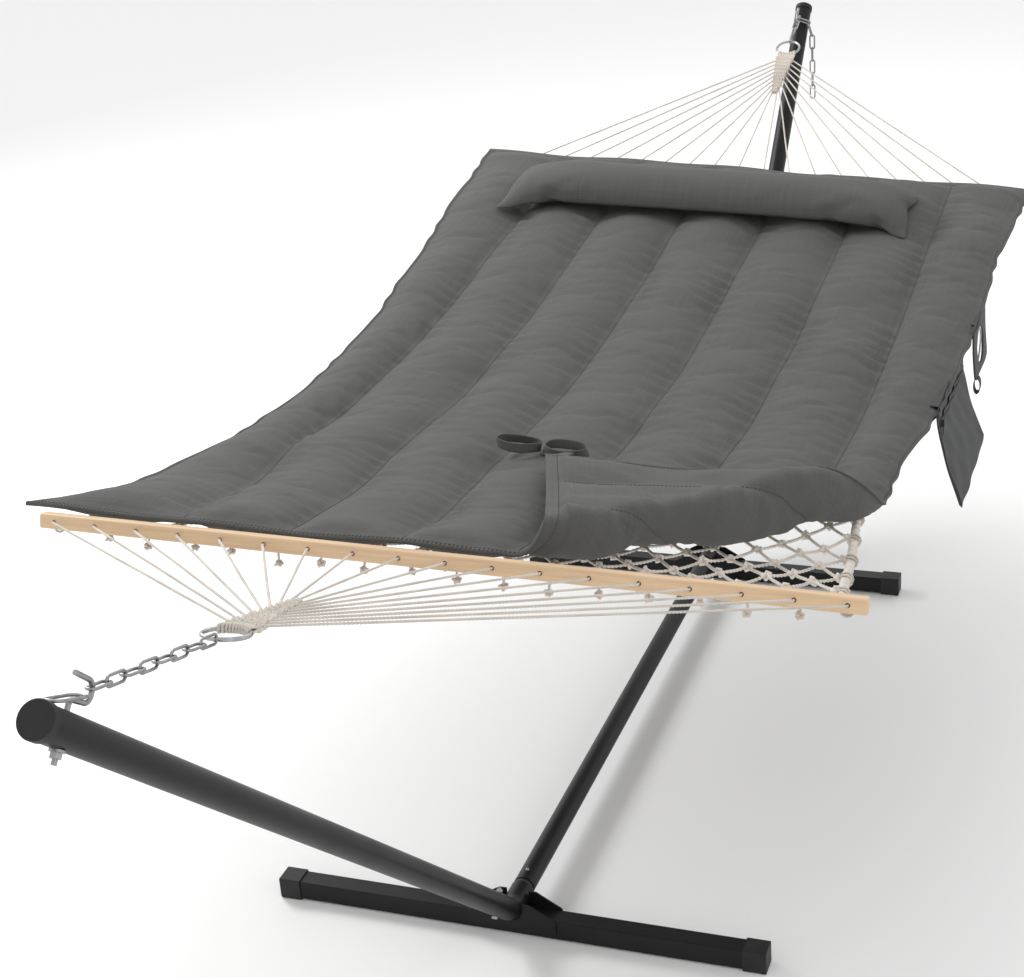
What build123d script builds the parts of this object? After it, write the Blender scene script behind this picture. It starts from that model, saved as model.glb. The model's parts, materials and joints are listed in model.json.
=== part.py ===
from build123d import *

import os
from math import atan2, cos, degrees, hypot, radians, sin, tan

# Two-person spreader-bar hammock hung by chains on a five-piece tubular steel stand.
# Millimetres. +X is to the right of a person looking from the foot end, +Y runs to the head end,
# +Z is up. The origin lies on the floor in the middle of the stand.

# ---------------------------------------------------------------- driving dimensions: stand
FOOT_LENGTH = 930.0
FOOT_TUBE = 38.0
FOOT_WALL = 1.5
FOOT_Y = 722.0
CAP_SIZE = 43.0
CAP_LENGTH = 42.0
CAP_WALL = 2.5
KEEL_OD = 40.0
KEEL_WALL = 1.5
KEEL_Z = 54.0
KEEL_END_Y = 680.0
ARM_OD = 42.0
ARM_WALL = 1.5
STUB_LENGTH = 85.0
STUB_CLEARANCE = 0.05
NECK_LENGTH = 10.0
ELBOW_Y = 742.0
ELBOW_RADIUS = 60.0
TIP_Y = 1940.0
TIP_Z = 1157.0
SADDLE_HALF_LENGTH = 84.0
SADDLE_TOP_HALF = 35.0
SADDLE_TOP_Z = 69.5
SADDLE_PLATE = 3.0
WELD_GAP = 0.1
BUTTON_Y = 646.0
BUTTON_RADIUS = 3.5
BUTTON_PROUD = 3.5
BUTTON_TRAVEL = 5.0
SPRING_STRIP = 0.8

# ---------------------------------------------------------------- driving dimensions: fastenings
HOOK_FROM_TIP = 50.0
HOOK_ROD = 6.5
BOWL_DOWN = 26.5
BOWL_LIFT = 48.5
BOWL_RADIUS = 12.0
BOLT_FROM_ELBOW = 81.5
BOLT_DIAMETER = 6.0
CHAIN_WIRE = 4.0
CHAIN_PITCH = 34.3
CHAIN_INNER_WIDTH = 8.6
CHAIN_SLACK = 0.12
END_LINK_LENGTH = 56.0
END_LINK_WIDTH = 17.0
END_LINK_SEAT = (21.0, 42.0)
END_LINK_DROOP = 18.0
FRONT_LINKS = 8
REAR_LINKS = 3
TAIL_LINKS = 5
BRIDGE_SLOPE = 30.0
BRIDGE_SPREAD = 0.3
RING_RADIUS = 30.0
RING_WIRE = 6.0
RING_SLACK = 0.5

# ---------------------------------------------------------------- driving dimensions: hammock
BAR_LENGTH = 1297.0
BAR_SECTION = 24.0
BAR_EDGE_ROUND = 5.0
HOLE_COUNT = 18
HOLE_PITCH = 73.2
HOLE_DIAMETER = 7.0
CORD_DIAMETER = 4.3
CORD_BEND = 6.0
CLEW_LENGTH = 170.0
CLEW_WIDE = 47.0
CLEW_NARROW = 10.0
CLEW_THICK = 9.0
FRONT_BAR = (41.0, -1049.0, 909.0)
REAR_BAR = (0.0, 1200.0, 855.0)
FRONT_TILT = 0.77
REAR_TILT = 2.85
PAD_THICK = 34.0
PAD_EDGE_THICK = 18.0
PAD_TO_NET = 25.0
NET_THICK = 8.0
EDGE_ROPE = 12.0
EDGE_ROPE_GAP = 6.0
EDGE_ROPE_DROP = 4.0
EDGE_ROPE_BEND = 220.0
EPS = 0.3

# Mid-surface of the pad at rest: distance along Y, height, half width and sideways tilt in degrees.
BED = [
    (-1022.0, 917.0, 655.0, 0.8),
    (-880.0, 873.0, 645.0, 0.9),
    (-700.0, 826.0, 630.0, 1.0),
    (-430.0, 788.0, 616.0, 1.2),
    (-100.0, 768.0, 608.0, 1.4),
    (250.0, 780.0, 620.0, 1.7),
    (600.0, 818.0, 646.0, 2.1),
    (950.0, 861.0, 672.0, 2.7),
    (1228.0, 889.0, 690.6, 3.4),
]
# The foot-end right corner is folded back over this line, from the front hem to the right side.
FOLD_FRONT = (150.0, -1040.0)
FOLD_SIDE = (680.0, -335.0)
FOLD_TIP = (45.0, -455.0)

PILLOW_LENGTH = 990.0
PILLOW_WIDTH = 245.0
PILLOW_THICK = 72.0
PILLOW_CENTRE = (-32.0, 925.0, 920.0)

BAG_LENGTH = 350.0
BAG_DROP = 190.0
BAG_WALL = 3.5
BAG_POCKET = 6.0
BAG_CENTRE_Y = 160.0
BAG_TOP_Z = 762.0
CUP_LENGTH = 190.0
CUP_DROP = 112.0
CUP_THICK = 5.0
CUP_CENTRE_Y = 478.0
CUP_TOP_Z = 786.0
CUP_RING_RADIUS = 36.0
CUP_RING_WIRE = 4.0
BAG_X = 640.0
CUP_X = 658.0
TAPE_THICK = 2.0
TIE_WIDTH = 18.0
FRONT_TAIL_HOLES = (5, 6, 9, 10, 16)
REAR_TAIL_HOLES = (16, 17)
BAR_TAIL_LENGTH = 26.0

# ---------------------------------------------------------------- derived sizes
ARM_ANGLE = atan2(TIP_Z - KEEL_Z, TIP_Y - ELBOW_Y)
BEND_START_Y = ELBOW_Y - ELBOW_RADIUS * tan(ARM_ANGLE / 2)
STUB_OD = KEEL_OD - 2 * KEEL_WALL - 2 * STUB_CLEARANCE
FRONT, REAR = -1, 1
SIDE_NAME = {FRONT: "front", REAR: "rear"}

os.makedirs("parts", exist_ok=True)


def write(builder, label):
    """Labels a finished piece and writes its STEP file."""
    builder.part.label = label
    export_step(builder.part, f"parts/{label}.step")


def arm_point(side, along, lift=0.0, across=0.0):
    """A point near an arm's axis: distance past the elbow, height above the axis and offset along X."""
    y = ELBOW_Y + along * cos(ARM_ANGLE) - lift * sin(ARM_ANGLE)
    z = KEEL_Z + along * sin(ARM_ANGLE) + lift * cos(ARM_ANGLE)
    return Vector(across, side * y, z)


def arm_plane(side, along, lift=0.0):
    """A plane square to an arm's upper surface, its Z pointing away from the tube."""
    normal = Vector(0, -side * sin(ARM_ANGLE), cos(ARM_ANGLE))
    return Plane(origin=arm_point(side, along, lift), x_dir=(1, 0, 0), z_dir=normal)


ARM_LENGTH = hypot(TIP_Y - ELBOW_Y, TIP_Z - KEEL_Z)
HOOK_ALONG = ARM_LENGTH - HOOK_FROM_TIP
TANGENT_ALONG = ELBOW_RADIUS * tan(ARM_ANGLE / 2)


def arm_route(side):
    """The axis of an arm, from the end of its swaged neck round the elbow to the tip."""
    start = (0, side * KEEL_END_Y, KEEL_Z)
    bend = (0, side * BEND_START_Y, KEEL_Z)
    half = ARM_ANGLE / 2
    middle = (
        0,
        side * (BEND_START_Y + ELBOW_RADIUS * sin(half)),
        KEEL_Z + ELBOW_RADIUS * (1 - cos(half)),
    )
    leave = arm_point(side, TANGENT_ALONG)
    return start, bend, middle, leave, arm_point(side, ARM_LENGTH)


def tube_along_arm(side, radius):
    """A solid bar of the given radius along an arm's axis."""
    start, bend, middle, leave, tip = arm_route(side)
    with BuildPart() as bar:
        with BuildLine() as route:
            Line(start, bend)
            ThreePointArc(bend, middle, leave)
            Line(leave, tip)
        with BuildSketch(Plane(origin=start, z_dir=(0, side, 0))):
            Circle(radius)
        sweep(path=route.wires()[0])
    return bar.part


def stub_profile(side, radius, neck_radius):
    """A solid of revolution for the swaged end: the stub and the neck that joins it to the full tube."""
    reach = KEEL_END_Y - STUB_LENGTH
    neck = KEEL_END_Y - NECK_LENGTH
    with BuildPart() as stub:
        with BuildSketch(Plane.YZ):
            with BuildLine():
                Polyline(
                    (side * reach, KEEL_Z),
                    (side * reach, KEEL_Z + radius),
                    (side * neck, KEEL_Z + radius),
                    (side * KEEL_END_Y, KEEL_Z + neck_radius),
                    (side * KEEL_END_Y, KEEL_Z),
                    close=True,
                )
            make_face()
        revolve(axis=Axis((0, 0, KEEL_Z), (0, 1, 0)))
    return stub.part


# ================================================================ stand
def make_foot(side):
    """A square foot tube with a round notch in its top where the arm is welded in."""
    with BuildPart() as foot:
        with BuildSketch(Plane.YZ.offset(-FOOT_LENGTH / 2 + CAP_WALL)):
            with Locations((side * FOOT_Y, CAP_WALL + FOOT_TUBE / 2)):
                RectangleRounded(FOOT_TUBE, FOOT_TUBE, 3)
                RectangleRounded(
                    FOOT_TUBE - 2 * FOOT_WALL, FOOT_TUBE - 2 * FOOT_WALL, 1.5, mode=Mode.SUBTRACT
                )
        extrude(amount=FOOT_LENGTH - 2 * CAP_WALL)
        add(tube_along_arm(side, ARM_OD / 2 + WELD_GAP), mode=Mode.SUBTRACT)
    write(foot, f"{SIDE_NAME[side]}_foot_tube")


def make_foot_cap(side, hand, hand_name):
    """A square plastic end cap that the foot stands on."""
    mouth = hand * (FOOT_LENGTH / 2 - CAP_LENGTH)
    with BuildPart() as cap:
        with BuildSketch(Plane.YZ.offset(mouth)):
            with Locations((side * FOOT_Y, CAP_SIZE / 2)):
                RectangleRounded(CAP_SIZE, CAP_SIZE, 3.5)
        extrude(amount=hand * CAP_LENGTH)
        outer_end = cap.faces().sort_by(Axis.X)[-1 if hand > 0 else 0]
        fillet(outer_end.edges(), 2.0)
        with BuildSketch(Plane.YZ.offset(mouth)):
            with Locations((side * FOOT_Y, CAP_WALL + FOOT_TUBE / 2)):
                RectangleRounded(FOOT_TUBE, FOOT_TUBE, 3)
        extrude(amount=hand * (CAP_LENGTH - CAP_WALL), mode=Mode.SUBTRACT)
    write(cap, f"{SIDE_NAME[side]}_foot_cap_{hand_name}")


def make_saddle(side):
    """Two gusset plates, one on each side wall of the foot, notched for the tube they are welded to."""
    outer = FOOT_Y + FOOT_TUBE / 2
    inner = FOOT_Y - FOOT_TUBE / 2
    with BuildPart() as saddle:
        for face_y, grow in ((outer, 1), (inner, -1)):
            low, high = sorted((face_y, face_y + grow * SADDLE_PLATE))
            with BuildSketch(Plane(origin=(0, side * low, 0), x_dir=(1, 0, 0), z_dir=(0, -1, 0))):
                with BuildLine():
                    Polyline(
                        (-SADDLE_HALF_LENGTH, 14),
                        (SADDLE_HALF_LENGTH, 14),
                        (SADDLE_HALF_LENGTH, 41),
                        (SADDLE_TOP_HALF, SADDLE_TOP_Z),
                        (-SADDLE_TOP_HALF, SADDLE_TOP_Z),
                        (-SADDLE_HALF_LENGTH, 41),
                        close=True,
                    )
                make_face()
            extrude(amount=-side * (high - low))
        add(tube_along_arm(side, ARM_OD / 2 + WELD_GAP), mode=Mode.SUBTRACT)
        with BuildSketch(Plane.XY.offset(KEEL_Z + 4)):
            with Locations((0, side * FOOT_Y)):
                Rectangle(ARM_OD + 2 * WELD_GAP, 3 * FOOT_TUBE)
        extrude(amount=SADDLE_TOP_Z, mode=Mode.SUBTRACT)
    write(saddle, f"{SIDE_NAME[side]}_foot_saddle")


def cross_hole(side, along, diameter):
    """A bar square through an arm, used to cut the hole for a rod or a bolt."""
    with BuildPart() as drill:
        with BuildSketch(arm_plane(side, along, -ARM_OD)):
            Circle(diameter / 2)
        extrude(amount=2 * ARM_OD)
    return drill.part


def button_cutter(side, radius):
    """An upright bar at a snap button's place."""
    with BuildPart() as drill:
        with BuildSketch(Plane.XY.offset(KEEL_Z)):
            with Locations((0, side * BUTTON_Y)):
                Circle(radius)
        extrude(amount=KEEL_OD)
    return drill.part


def make_arm(side):
    """A bent arm: swaged stub, neck, elbow and the long slanting run, all one hollow tube."""
    with BuildPart() as arm:
        add(tube_along_arm(side, ARM_OD / 2))
        add(stub_profile(side, STUB_OD / 2, ARM_OD / 2))
        add(tube_along_arm(side, ARM_OD / 2 - ARM_WALL), mode=Mode.SUBTRACT)
        add(
            stub_profile(side, STUB_OD / 2 - ARM_WALL, ARM_OD / 2 - ARM_WALL),
            mode=Mode.SUBTRACT,
        )
        add(cross_hole(side, HOOK_ALONG, HOOK_ROD + 0.6), mode=Mode.SUBTRACT)
        add(cross_hole(side, BOLT_FROM_ELBOW, BOLT_DIAMETER + 0.5), mode=Mode.SUBTRACT)
        add(button_cutter(side, BUTTON_RADIUS + 0.08), mode=Mode.SUBTRACT)
    write(arm, f"{SIDE_NAME[side]}_arm_tube")


def make_keel():
    """The straight tube along the floor that sleeves over both arms' stubs."""
    with BuildPart() as keel:
        with BuildSketch(Plane.XZ.offset(-KEEL_END_Y + NECK_LENGTH)):
            with Locations((0, KEEL_Z)):
                Circle(KEEL_OD / 2)
                Circle(KEEL_OD / 2 - KEEL_WALL, mode=Mode.SUBTRACT)
        extrude(amount=2 * (KEEL_END_Y - NECK_LENGTH))
        for side in (FRONT, REAR):
            add(button_cutter(side, BUTTON_RADIUS + 0.08), mode=Mode.SUBTRACT)
    write(keel, "keel_tube")


def make_tube_cap(side):
    """A round plastic cap pressed over an arm's open end."""
    skirt, face, plug = 9.0, 4.0, 18.0
    end = arm_point(side, ARM_LENGTH)
    outward = Vector(0, side * cos(ARM_ANGLE), sin(ARM_ANGLE))
    with BuildPart() as cap:
        with BuildSketch(Plane(origin=end - outward * skirt, x_dir=(1, 0, 0), z_dir=outward)):
            Circle(ARM_OD / 2 + 1.6)
        extrude(amount=skirt + face)
        fillet(cap.faces().sort_by(Axis(end, outward))[-1].edges(), 2.2)
        with BuildSketch(Plane(origin=end - outward * skirt, x_dir=(1, 0, 0), z_dir=outward)):
            Circle(ARM_OD / 2 + 0.05)
        extrude(amount=skirt, mode=Mode.SUBTRACT)
        with BuildSketch(Plane(origin=end - outward * plug, x_dir=(1, 0, 0), z_dir=outward)):
            Circle(ARM_OD / 2 - ARM_WALL - 0.1)
            Circle(ARM_OD / 2 - ARM_WALL - 2.0, mode=Mode.SUBTRACT)
        extrude(amount=plug)
    write(cap, f"{SIDE_NAME[side]}_tube_cap")


def hook_point(side, down, lift):
    """A point on a hook, given down the arm from the hole and up from the arm's axis."""
    return arm_point(side, HOOK_ALONG - down, lift)


def make_hook(side):
    """An open rod hook: threaded shank through the arm, a low run towards the hammock and a rising tip."""
    bottom = -ARM_OD / 2 - 16
    shank = hook_point(side, 0, bottom)
    extreme = BOWL_DOWN + BOWL_RADIUS
    low, high = BOWL_LIFT - BOWL_RADIUS, BOWL_LIFT + BOWL_RADIUS
    route = [(0, bottom), (0, low - 3.5), (extreme, low - 0.3), (extreme, high + 0.3), (-2, high + 1)]
    corners = [hook_point(side, down, lift) for down, lift in route]
    with BuildPart() as hook:
        with BuildLine() as path:
            FilletPolyline(*corners, radius=[7.0, BOWL_RADIUS - 0.8, BOWL_RADIUS - 0.8])
        with BuildSketch(arm_plane(side, HOOK_ALONG, bottom)):
            Circle(HOOK_ROD / 2)
        sweep(path=path.wires()[0])
    write(hook, f"{SIDE_NAME[side]}_hook")


def make_hook_nut(side):
    """The hexagon nut that holds a hook under its arm."""
    with BuildPart() as nut:
        with BuildSketch(arm_plane(side, HOOK_ALONG, -ARM_OD / 2 - 2.2)):
            RegularPolygon(7.2, 6)
            Circle(HOOK_ROD / 2 + 0.03, mode=Mode.SUBTRACT)
        extrude(amount=-7)
        chamfer(nut.edges().filter_by(GeomType.LINE).group_by(Axis.Z)[0], 0.4)
    write(nut, f"{SIDE_NAME[side]}_hook_nut")


def make_hook_washer(side):
    """A washer curved to the tube, between the nut and the arm."""
    with BuildPart() as washer:
        with BuildSketch(arm_plane(side, HOOK_ALONG, -ARM_OD / 2 - 2.2)):
            Circle(9)
            Circle(HOOK_ROD / 2 + 0.3, mode=Mode.SUBTRACT)
        extrude(amount=2.8)
        add(tube_along_arm(side, ARM_OD / 2 + 0.02), mode=Mode.SUBTRACT)
    write(washer, f"{SIDE_NAME[side]}_hook_washer")


def make_arm_bolt(side):
    """A pan-head bolt across the arm above its elbow, with its nut in the same node."""
    with BuildPart() as bolt:
        with BuildSketch(arm_plane(side, BOLT_FROM_ELBOW, -ARM_OD / 2 - 0.6)):
            Circle(BOLT_DIAMETER / 2)
        extrude(amount=ARM_OD + 9)
        with BuildSketch(arm_plane(side, BOLT_FROM_ELBOW, -ARM_OD / 2 - 4.6)):
            Circle(5.6)
        extrude(amount=4.0)
        fillet(bolt.edges().filter_by(GeomType.CIRCLE).group_by(Axis.Z)[0], 1.5)
    write(bolt, f"{SIDE_NAME[side]}_arm_bolt")
    with BuildPart() as nut:
        with BuildSketch(arm_plane(side, BOLT_FROM_ELBOW, ARM_OD / 2 + 0.6)):
            RegularPolygon(5.6, 6)
            Circle(BOLT_DIAMETER / 2 + 0.03, mode=Mode.SUBTRACT)
        extrude(amount=5)
    write(nut, f"{SIDE_NAME[side]}_arm_bolt_nut")


def make_snap_button(side):
    """A domed pin that locks the keel on an arm's stub and is pushed in to part them."""
    crown = KEEL_Z + KEEL_OD / 2 + BUTTON_PROUD
    seat = KEEL_Z + STUB_OD / 2 - ARM_WALL - 1.2
    with BuildPart() as button:
        with BuildSketch(Plane.XY.offset(seat)):
            with Locations((0, side * BUTTON_Y)):
                Circle(BUTTON_RADIUS)
        extrude(amount=crown - seat)
        fillet(button.edges().group_by(Axis.Z)[-1], BUTTON_RADIUS - 0.6)
        with BuildSketch(Plane.XY.offset(seat - 1.6)):
            with Locations((0, side * BUTTON_Y)):
                Circle(BUTTON_RADIUS + 1.2)
        extrude(amount=1.6)
    write(button, f"{SIDE_NAME[side]}_snap_button")


def make_button_spring(side):
    """A V-shaped leaf spring inside the stub, from its floor up to the button."""
    top = KEEL_Z + STUB_OD / 2 - ARM_WALL - 1.2 - 1.6 - EPS
    floor = KEEL_Z - STUB_OD / 2 + ARM_WALL + 1.2
    tail = side * (BUTTON_Y - 34)
    with BuildPart() as spring:
        with BuildSketch(Plane.YZ.offset(-4)):
            with BuildLine():
                upper = Polyline(
                    (side * (BUTTON_Y + 8), top - SPRING_STRIP),
                    (side * (BUTTON_Y - 8), top - SPRING_STRIP),
                    (tail, (top + floor) / 2),
                    (side * (BUTTON_Y - 8), floor),
                    (side * (BUTTON_Y + 8), floor),
                )
                offset(upper, amount=SPRING_STRIP, side=Side.LEFT if side > 0 else Side.RIGHT)
            make_face()
        extrude(amount=8)
    write(spring, f"{SIDE_NAME[side]}_button_spring")


# ================================================================ chains and rings
def chain_link(inner_length, inner_width, wire):
    """One welded link lying in the XY plane, its long side along Y."""
    straight = (inner_length - inner_width) / 2
    radius = (inner_width + wire) / 2
    with BuildPart() as link:
        with BuildLine() as loop:
            Line((radius, -straight), (radius, straight))
            ThreePointArc((radius, straight), (0, straight + radius), (-radius, straight))
            Line((-radius, straight), (-radius, -straight))
            ThreePointArc((-radius, -straight), (0, -straight - radius), (radius, -straight))
        with BuildSketch(Plane(origin=(radius, 0, 0), x_dir=(1, 0, 0), z_dir=(0, 1, 0))):
            Circle(wire / 2)
        sweep(path=loop.wires()[0])
    return link.part


def chain_run(start, direction, count, first_angle, step_angle):
    """Places for links in tension: start is the centre of the bar the first link hangs on."""
    direction = Vector(*direction).normalized()
    across = Vector(1, 0, 0) - direction * direction.dot(Vector(1, 0, 0))
    places = []
    for index in range(count):
        centre = Vector(*start) + direction * ((CHAIN_PITCH - CHAIN_SLACK) * (index + 0.5))
        side_axis = across.normalized().rotate(Axis((0, 0, 0), direction), first_angle + step_angle * index)
        normal = side_axis.cross(direction)
        places.append(Plane(origin=centre, x_dir=side_axis, z_dir=normal).location)
    return places


def make_chain(places, label):
    """A run of separate links in one node."""
    link = chain_link(CHAIN_PITCH, CHAIN_INNER_WIDTH, CHAIN_WIRE)
    with BuildPart() as chain:
        add([place * link for place in places])
    write(chain, label)


# The bar of each hook that carries its chain, and the ring it leads to.
INSIDE_ROD = HOOK_ROD / 2 + CHAIN_SLACK
RING_AIM = {FRONT: Vector(0, -1554.0, 1050.0), REAR: Vector(0, 1720.0, 1091.0)}
BOWL = {side: hook_point(side, BOWL_DOWN, BOWL_LIFT) for side in (FRONT, REAR)}
HANG = {side: BOWL[side] + (RING_AIM[side] - BOWL[side]).normalized() * BOWL_RADIUS for side in BOWL}
LINKS = {FRONT: FRONT_LINKS, REAR: REAR_LINKS}
PULL = {side: (RING_AIM[side] - HANG[side]).normalized() for side in (FRONT, REAR)}
CHAIN_START = {side: HANG[side] - PULL[side] * INSIDE_ROD for side in (FRONT, REAR)}
RUN = {side: LINKS[side] * (CHAIN_PITCH - CHAIN_SLACK) for side in (FRONT, REAR)}
RING_GRIP = {
    side: CHAIN_START[side] + PULL[side] * (RUN[side] - RING_SLACK - RING_WIRE / 2) for side in (FRONT, REAR)
}
BAR_CENTRE = {FRONT: Vector(*FRONT_BAR), REAR: Vector(*REAR_BAR)}
BAR_TILT = {FRONT: FRONT_TILT, REAR: REAR_TILT}
FAN = {
    side: (Vector(0, BAR_CENTRE[side].Y, BAR_CENTRE[side].Z) - RING_GRIP[side]).normalized()
    for side in (FRONT, REAR)
}
RING_CENTRE = {side: RING_GRIP[side] + FAN[side] * RING_RADIUS for side in (FRONT, REAR)}


def ring_plane(side):
    """The plane a ring lies in: its X across, its Y along the pull towards the bar."""
    normal = Vector(1, 0, 0).cross(FAN[side])
    return Plane(origin=RING_CENTRE[side], x_dir=(1, 0, 0), z_dir=normal)


def ring_torus(side, wire):
    """The ring's torus, at a given wire thickness."""
    with BuildPart() as torus:
        with BuildSketch(Plane(origin=ring_plane(side).origin, x_dir=(1, 0, 0), z_dir=FAN[side])):
            with Locations((RING_RADIUS, 0)):
                Circle(wire / 2)
        revolve(axis=Axis(RING_CENTRE[side], ring_plane(side).z_dir))
    return torus.part


def make_ring(side):
    """The welded steel ring between a chain and a clew."""
    with BuildPart() as ring:
        add(ring_torus(side, RING_WIRE))
    write(ring, f"{SIDE_NAME[side]}_ring")


def make_end_link():
    """The long last link of the foot-end chain, lying back over the arm beyond the hook."""
    foot = hook_point(FRONT, *END_LINK_SEAT)
    lean = ARM_ANGLE - radians(END_LINK_DROOP)
    outward = Vector(0, -cos(lean), sin(lean))
    centre = foot + outward * (END_LINK_LENGTH + CHAIN_WIRE) / 2
    plane = Plane(origin=centre, x_dir=(1, 0, 0), z_dir=Vector(1, 0, 0).cross(outward))
    with BuildPart() as link:
        add(plane.location * chain_link(END_LINK_LENGTH, END_LINK_WIDTH, CHAIN_WIRE))
    write(link, "front_end_link")
    return foot


def next_start(start, direction, following):
    """Where a link's inner end lies when the link before it points another way."""
    bend = CHAIN_INNER_WIDTH / 2
    return start + direction * (CHAIN_PITCH - bend) + following * (bend - CHAIN_SLACK)


def link_place(start, direction, side_axis):
    """The place of one link, given its inner end, its direction and its width axis."""
    centre = start + direction * (CHAIN_PITCH / 2)
    side_axis = (side_axis - direction * side_axis.dot(direction)).normalized()
    return Plane(origin=centre, x_dir=side_axis, z_dir=side_axis.cross(direction)).location


def make_chain_tail():
    """The spare chain at the head end: two links lying off the hook and a run that hangs beside the arm."""
    slope = radians(BRIDGE_SLOPE)
    down_arm = Vector(0, -cos(ARM_ANGLE), -sin(ARM_ANGLE))
    to_axis = Vector(0, sin(ARM_ANGLE), -cos(ARM_ANGLE))
    first = Vector(cos(slope), 0, 0) + to_axis * sin(slope)
    second = Vector(BRIDGE_SPREAD, 0, -1).normalized()
    rod = hook_point(REAR, BOWL_DOWN - BOWL_RADIUS, BOWL_LIFT - BOWL_RADIUS - 1.3)
    start = rod - first * (HOOK_ROD / 2 + CHAIN_SLACK)
    second_start = next_start(start, first, second)
    link = chain_link(CHAIN_PITCH, CHAIN_INNER_WIDTH, CHAIN_WIRE)
    with BuildPart() as bridge:
        add(link_place(start, first, first.cross(down_arm)) * link)
        add(link_place(second_start, second, Vector(0, 1, 0)) * link)
    write(bridge, "rear_chain_bridge")
    falling = Vector(0, 0, -1)
    pivot = second_start + second * (CHAIN_PITCH + CHAIN_WIRE / 2)
    top = pivot - falling * (CHAIN_WIRE / 2 + CHAIN_SLACK)
    make_chain(chain_run(top, falling, TAIL_LINKS, 0, 90), "rear_chain_tail")
    print("tail hinge", tuple(pivot))


# ================================================================ hammock
def bar_plane(side):
    """A spreader bar's middle: X along the bar, Z along its holes towards the net."""
    tilt = radians(BAR_TILT[side])
    along = Vector(cos(tilt), 0, -sin(tilt))
    holes = (FAN[side] - along * FAN[side].dot(along)).normalized()
    return Plane(origin=BAR_CENTRE[side], x_dir=along, z_dir=holes)


def hole_offsets():
    """Distances of the holes from the middle of a bar."""
    return [(index - (HOLE_COUNT - 1) / 2) * HOLE_PITCH for index in range(HOLE_COUNT)]


def make_bar(side):
    """A wooden spreader bar with rounded edges and a row of holes."""
    plane = bar_plane(side)
    start = Plane(
        origin=plane.origin - plane.x_dir * (BAR_LENGTH / 2), x_dir=plane.z_dir, z_dir=plane.x_dir
    )
    with BuildPart() as bar:
        with BuildSketch(start):
            RectangleRounded(BAR_SECTION, BAR_SECTION, BAR_EDGE_ROUND)
        extrude(amount=BAR_LENGTH)
        ends = bar.faces().sort_by(Axis(plane.origin, plane.x_dir))
        fillet(ends[0].edges() + ends[-1].edges(), 1.5)
        with BuildSketch(Plane(origin=plane.origin, x_dir=plane.x_dir, z_dir=plane.z_dir)):
            with Locations(*[(x, 0) for x in hole_offsets()]):
                Circle(HOLE_DIAMETER / 2)
        extrude(amount=BAR_SECTION, both=True, mode=Mode.SUBTRACT)
    write(bar, f"{SIDE_NAME[side]}_spreader_bar")


def clew_edge(side, hand, share):
    """A point on a clew's edge: share 0 is at the ring, 1 at its narrow end."""
    along = RING_RADIUS + share * CLEW_LENGTH
    half = CLEW_WIDE / 2 + (CLEW_NARROW - CLEW_WIDE) / 2 * share
    return RING_CENTRE[side] + FAN[side] * along + Vector(hand * half, 0, 0)


def make_clew(side):
    """The woven wedge of cord that wraps the ring and lets the suspension cords go one by one."""
    plane = ring_plane(side)
    with BuildPart() as clew:
        with BuildSketch(plane.offset(-CLEW_THICK / 2)):
            with BuildLine():
                near, far = RING_RADIUS - 8, RING_RADIUS + CLEW_LENGTH
                Polyline(
                    (-CLEW_WIDE / 2, near),
                    (CLEW_WIDE / 2, near),
                    (CLEW_NARROW / 2, far),
                    (-CLEW_NARROW / 2, far),
                    close=True,
                )
            make_face()
        extrude(amount=CLEW_THICK)
        add(ring_torus(side, RING_WIRE + 0.2), mode=Mode.SUBTRACT)
    write(clew, f"{SIDE_NAME[side]}_clew")


def round_run(first, last, diameter):
    """A straight round bar between two points."""
    with BuildPart() as run:
        with BuildSketch(Plane(origin=first, z_dir=last - first)):
            Circle(diameter / 2)
        extrude(amount=(last - first).length)
    return run.part


def make_suspension(side):
    """Eighteen taut cords, from the clew's edges to the holes of the bar and through them."""
    plane = bar_plane(side)
    per_hand = HOLE_COUNT // 2
    with BuildPart() as cords:
        for offset_x in hole_offsets():
            hand = 1 if offset_x > 0 else -1
            rank = (abs(offset_x) - HOLE_PITCH / 2) / HOLE_PITCH
            share = 0.94 - 0.80 * rank / (per_hand - 1)
            mouth = plane.origin + plane.x_dir * offset_x - plane.z_dir * (BAR_SECTION / 2 + 4)
            inside = mouth + plane.z_dir * (BAR_SECTION + 2)
            edge = clew_edge(side, hand, share)
            start = edge + (mouth - edge).normalized() * 13
            with BuildLine() as path:
                FilletPolyline(start, mouth, inside, radius=CORD_BEND)
            with BuildSketch(Plane(origin=start, z_dir=mouth - start)):
                Circle(CORD_DIAMETER / 2)
            sweep(path=path.wires()[0])
    write(cords, f"{SIDE_NAME[side]}_suspension_cords")


def bed_section(station, drop):
    """The cross-section plane of a layer that follows the bed's sag."""
    y, z, _, tilt = station
    along = Vector(cos(radians(tilt)), 0, -sin(radians(tilt)))
    return Plane(origin=(0, y, z - drop), x_dir=along, z_dir=(0, 1, 0))


def bed_layer(stations, drop, widths, thicks):
    """A sheet lofted along the bed, given its drop below the pad, half widths and thicknesses."""
    with BuildPart() as layer:
        for station, half_width, thick in zip(stations, widths, thicks):
            with BuildSketch(bed_section(station, drop)):
                Rectangle(2 * half_width, thick)
        loft()
    return layer.part


def prism(points, low, high):
    """An upright prism over a plan outline."""
    with BuildPart() as block:
        with BuildSketch(Plane.XY.offset(low)):
            with BuildLine():
                Polyline(*points, close=True)
            make_face()
        extrude(amount=high - low)
    return block.part


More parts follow.
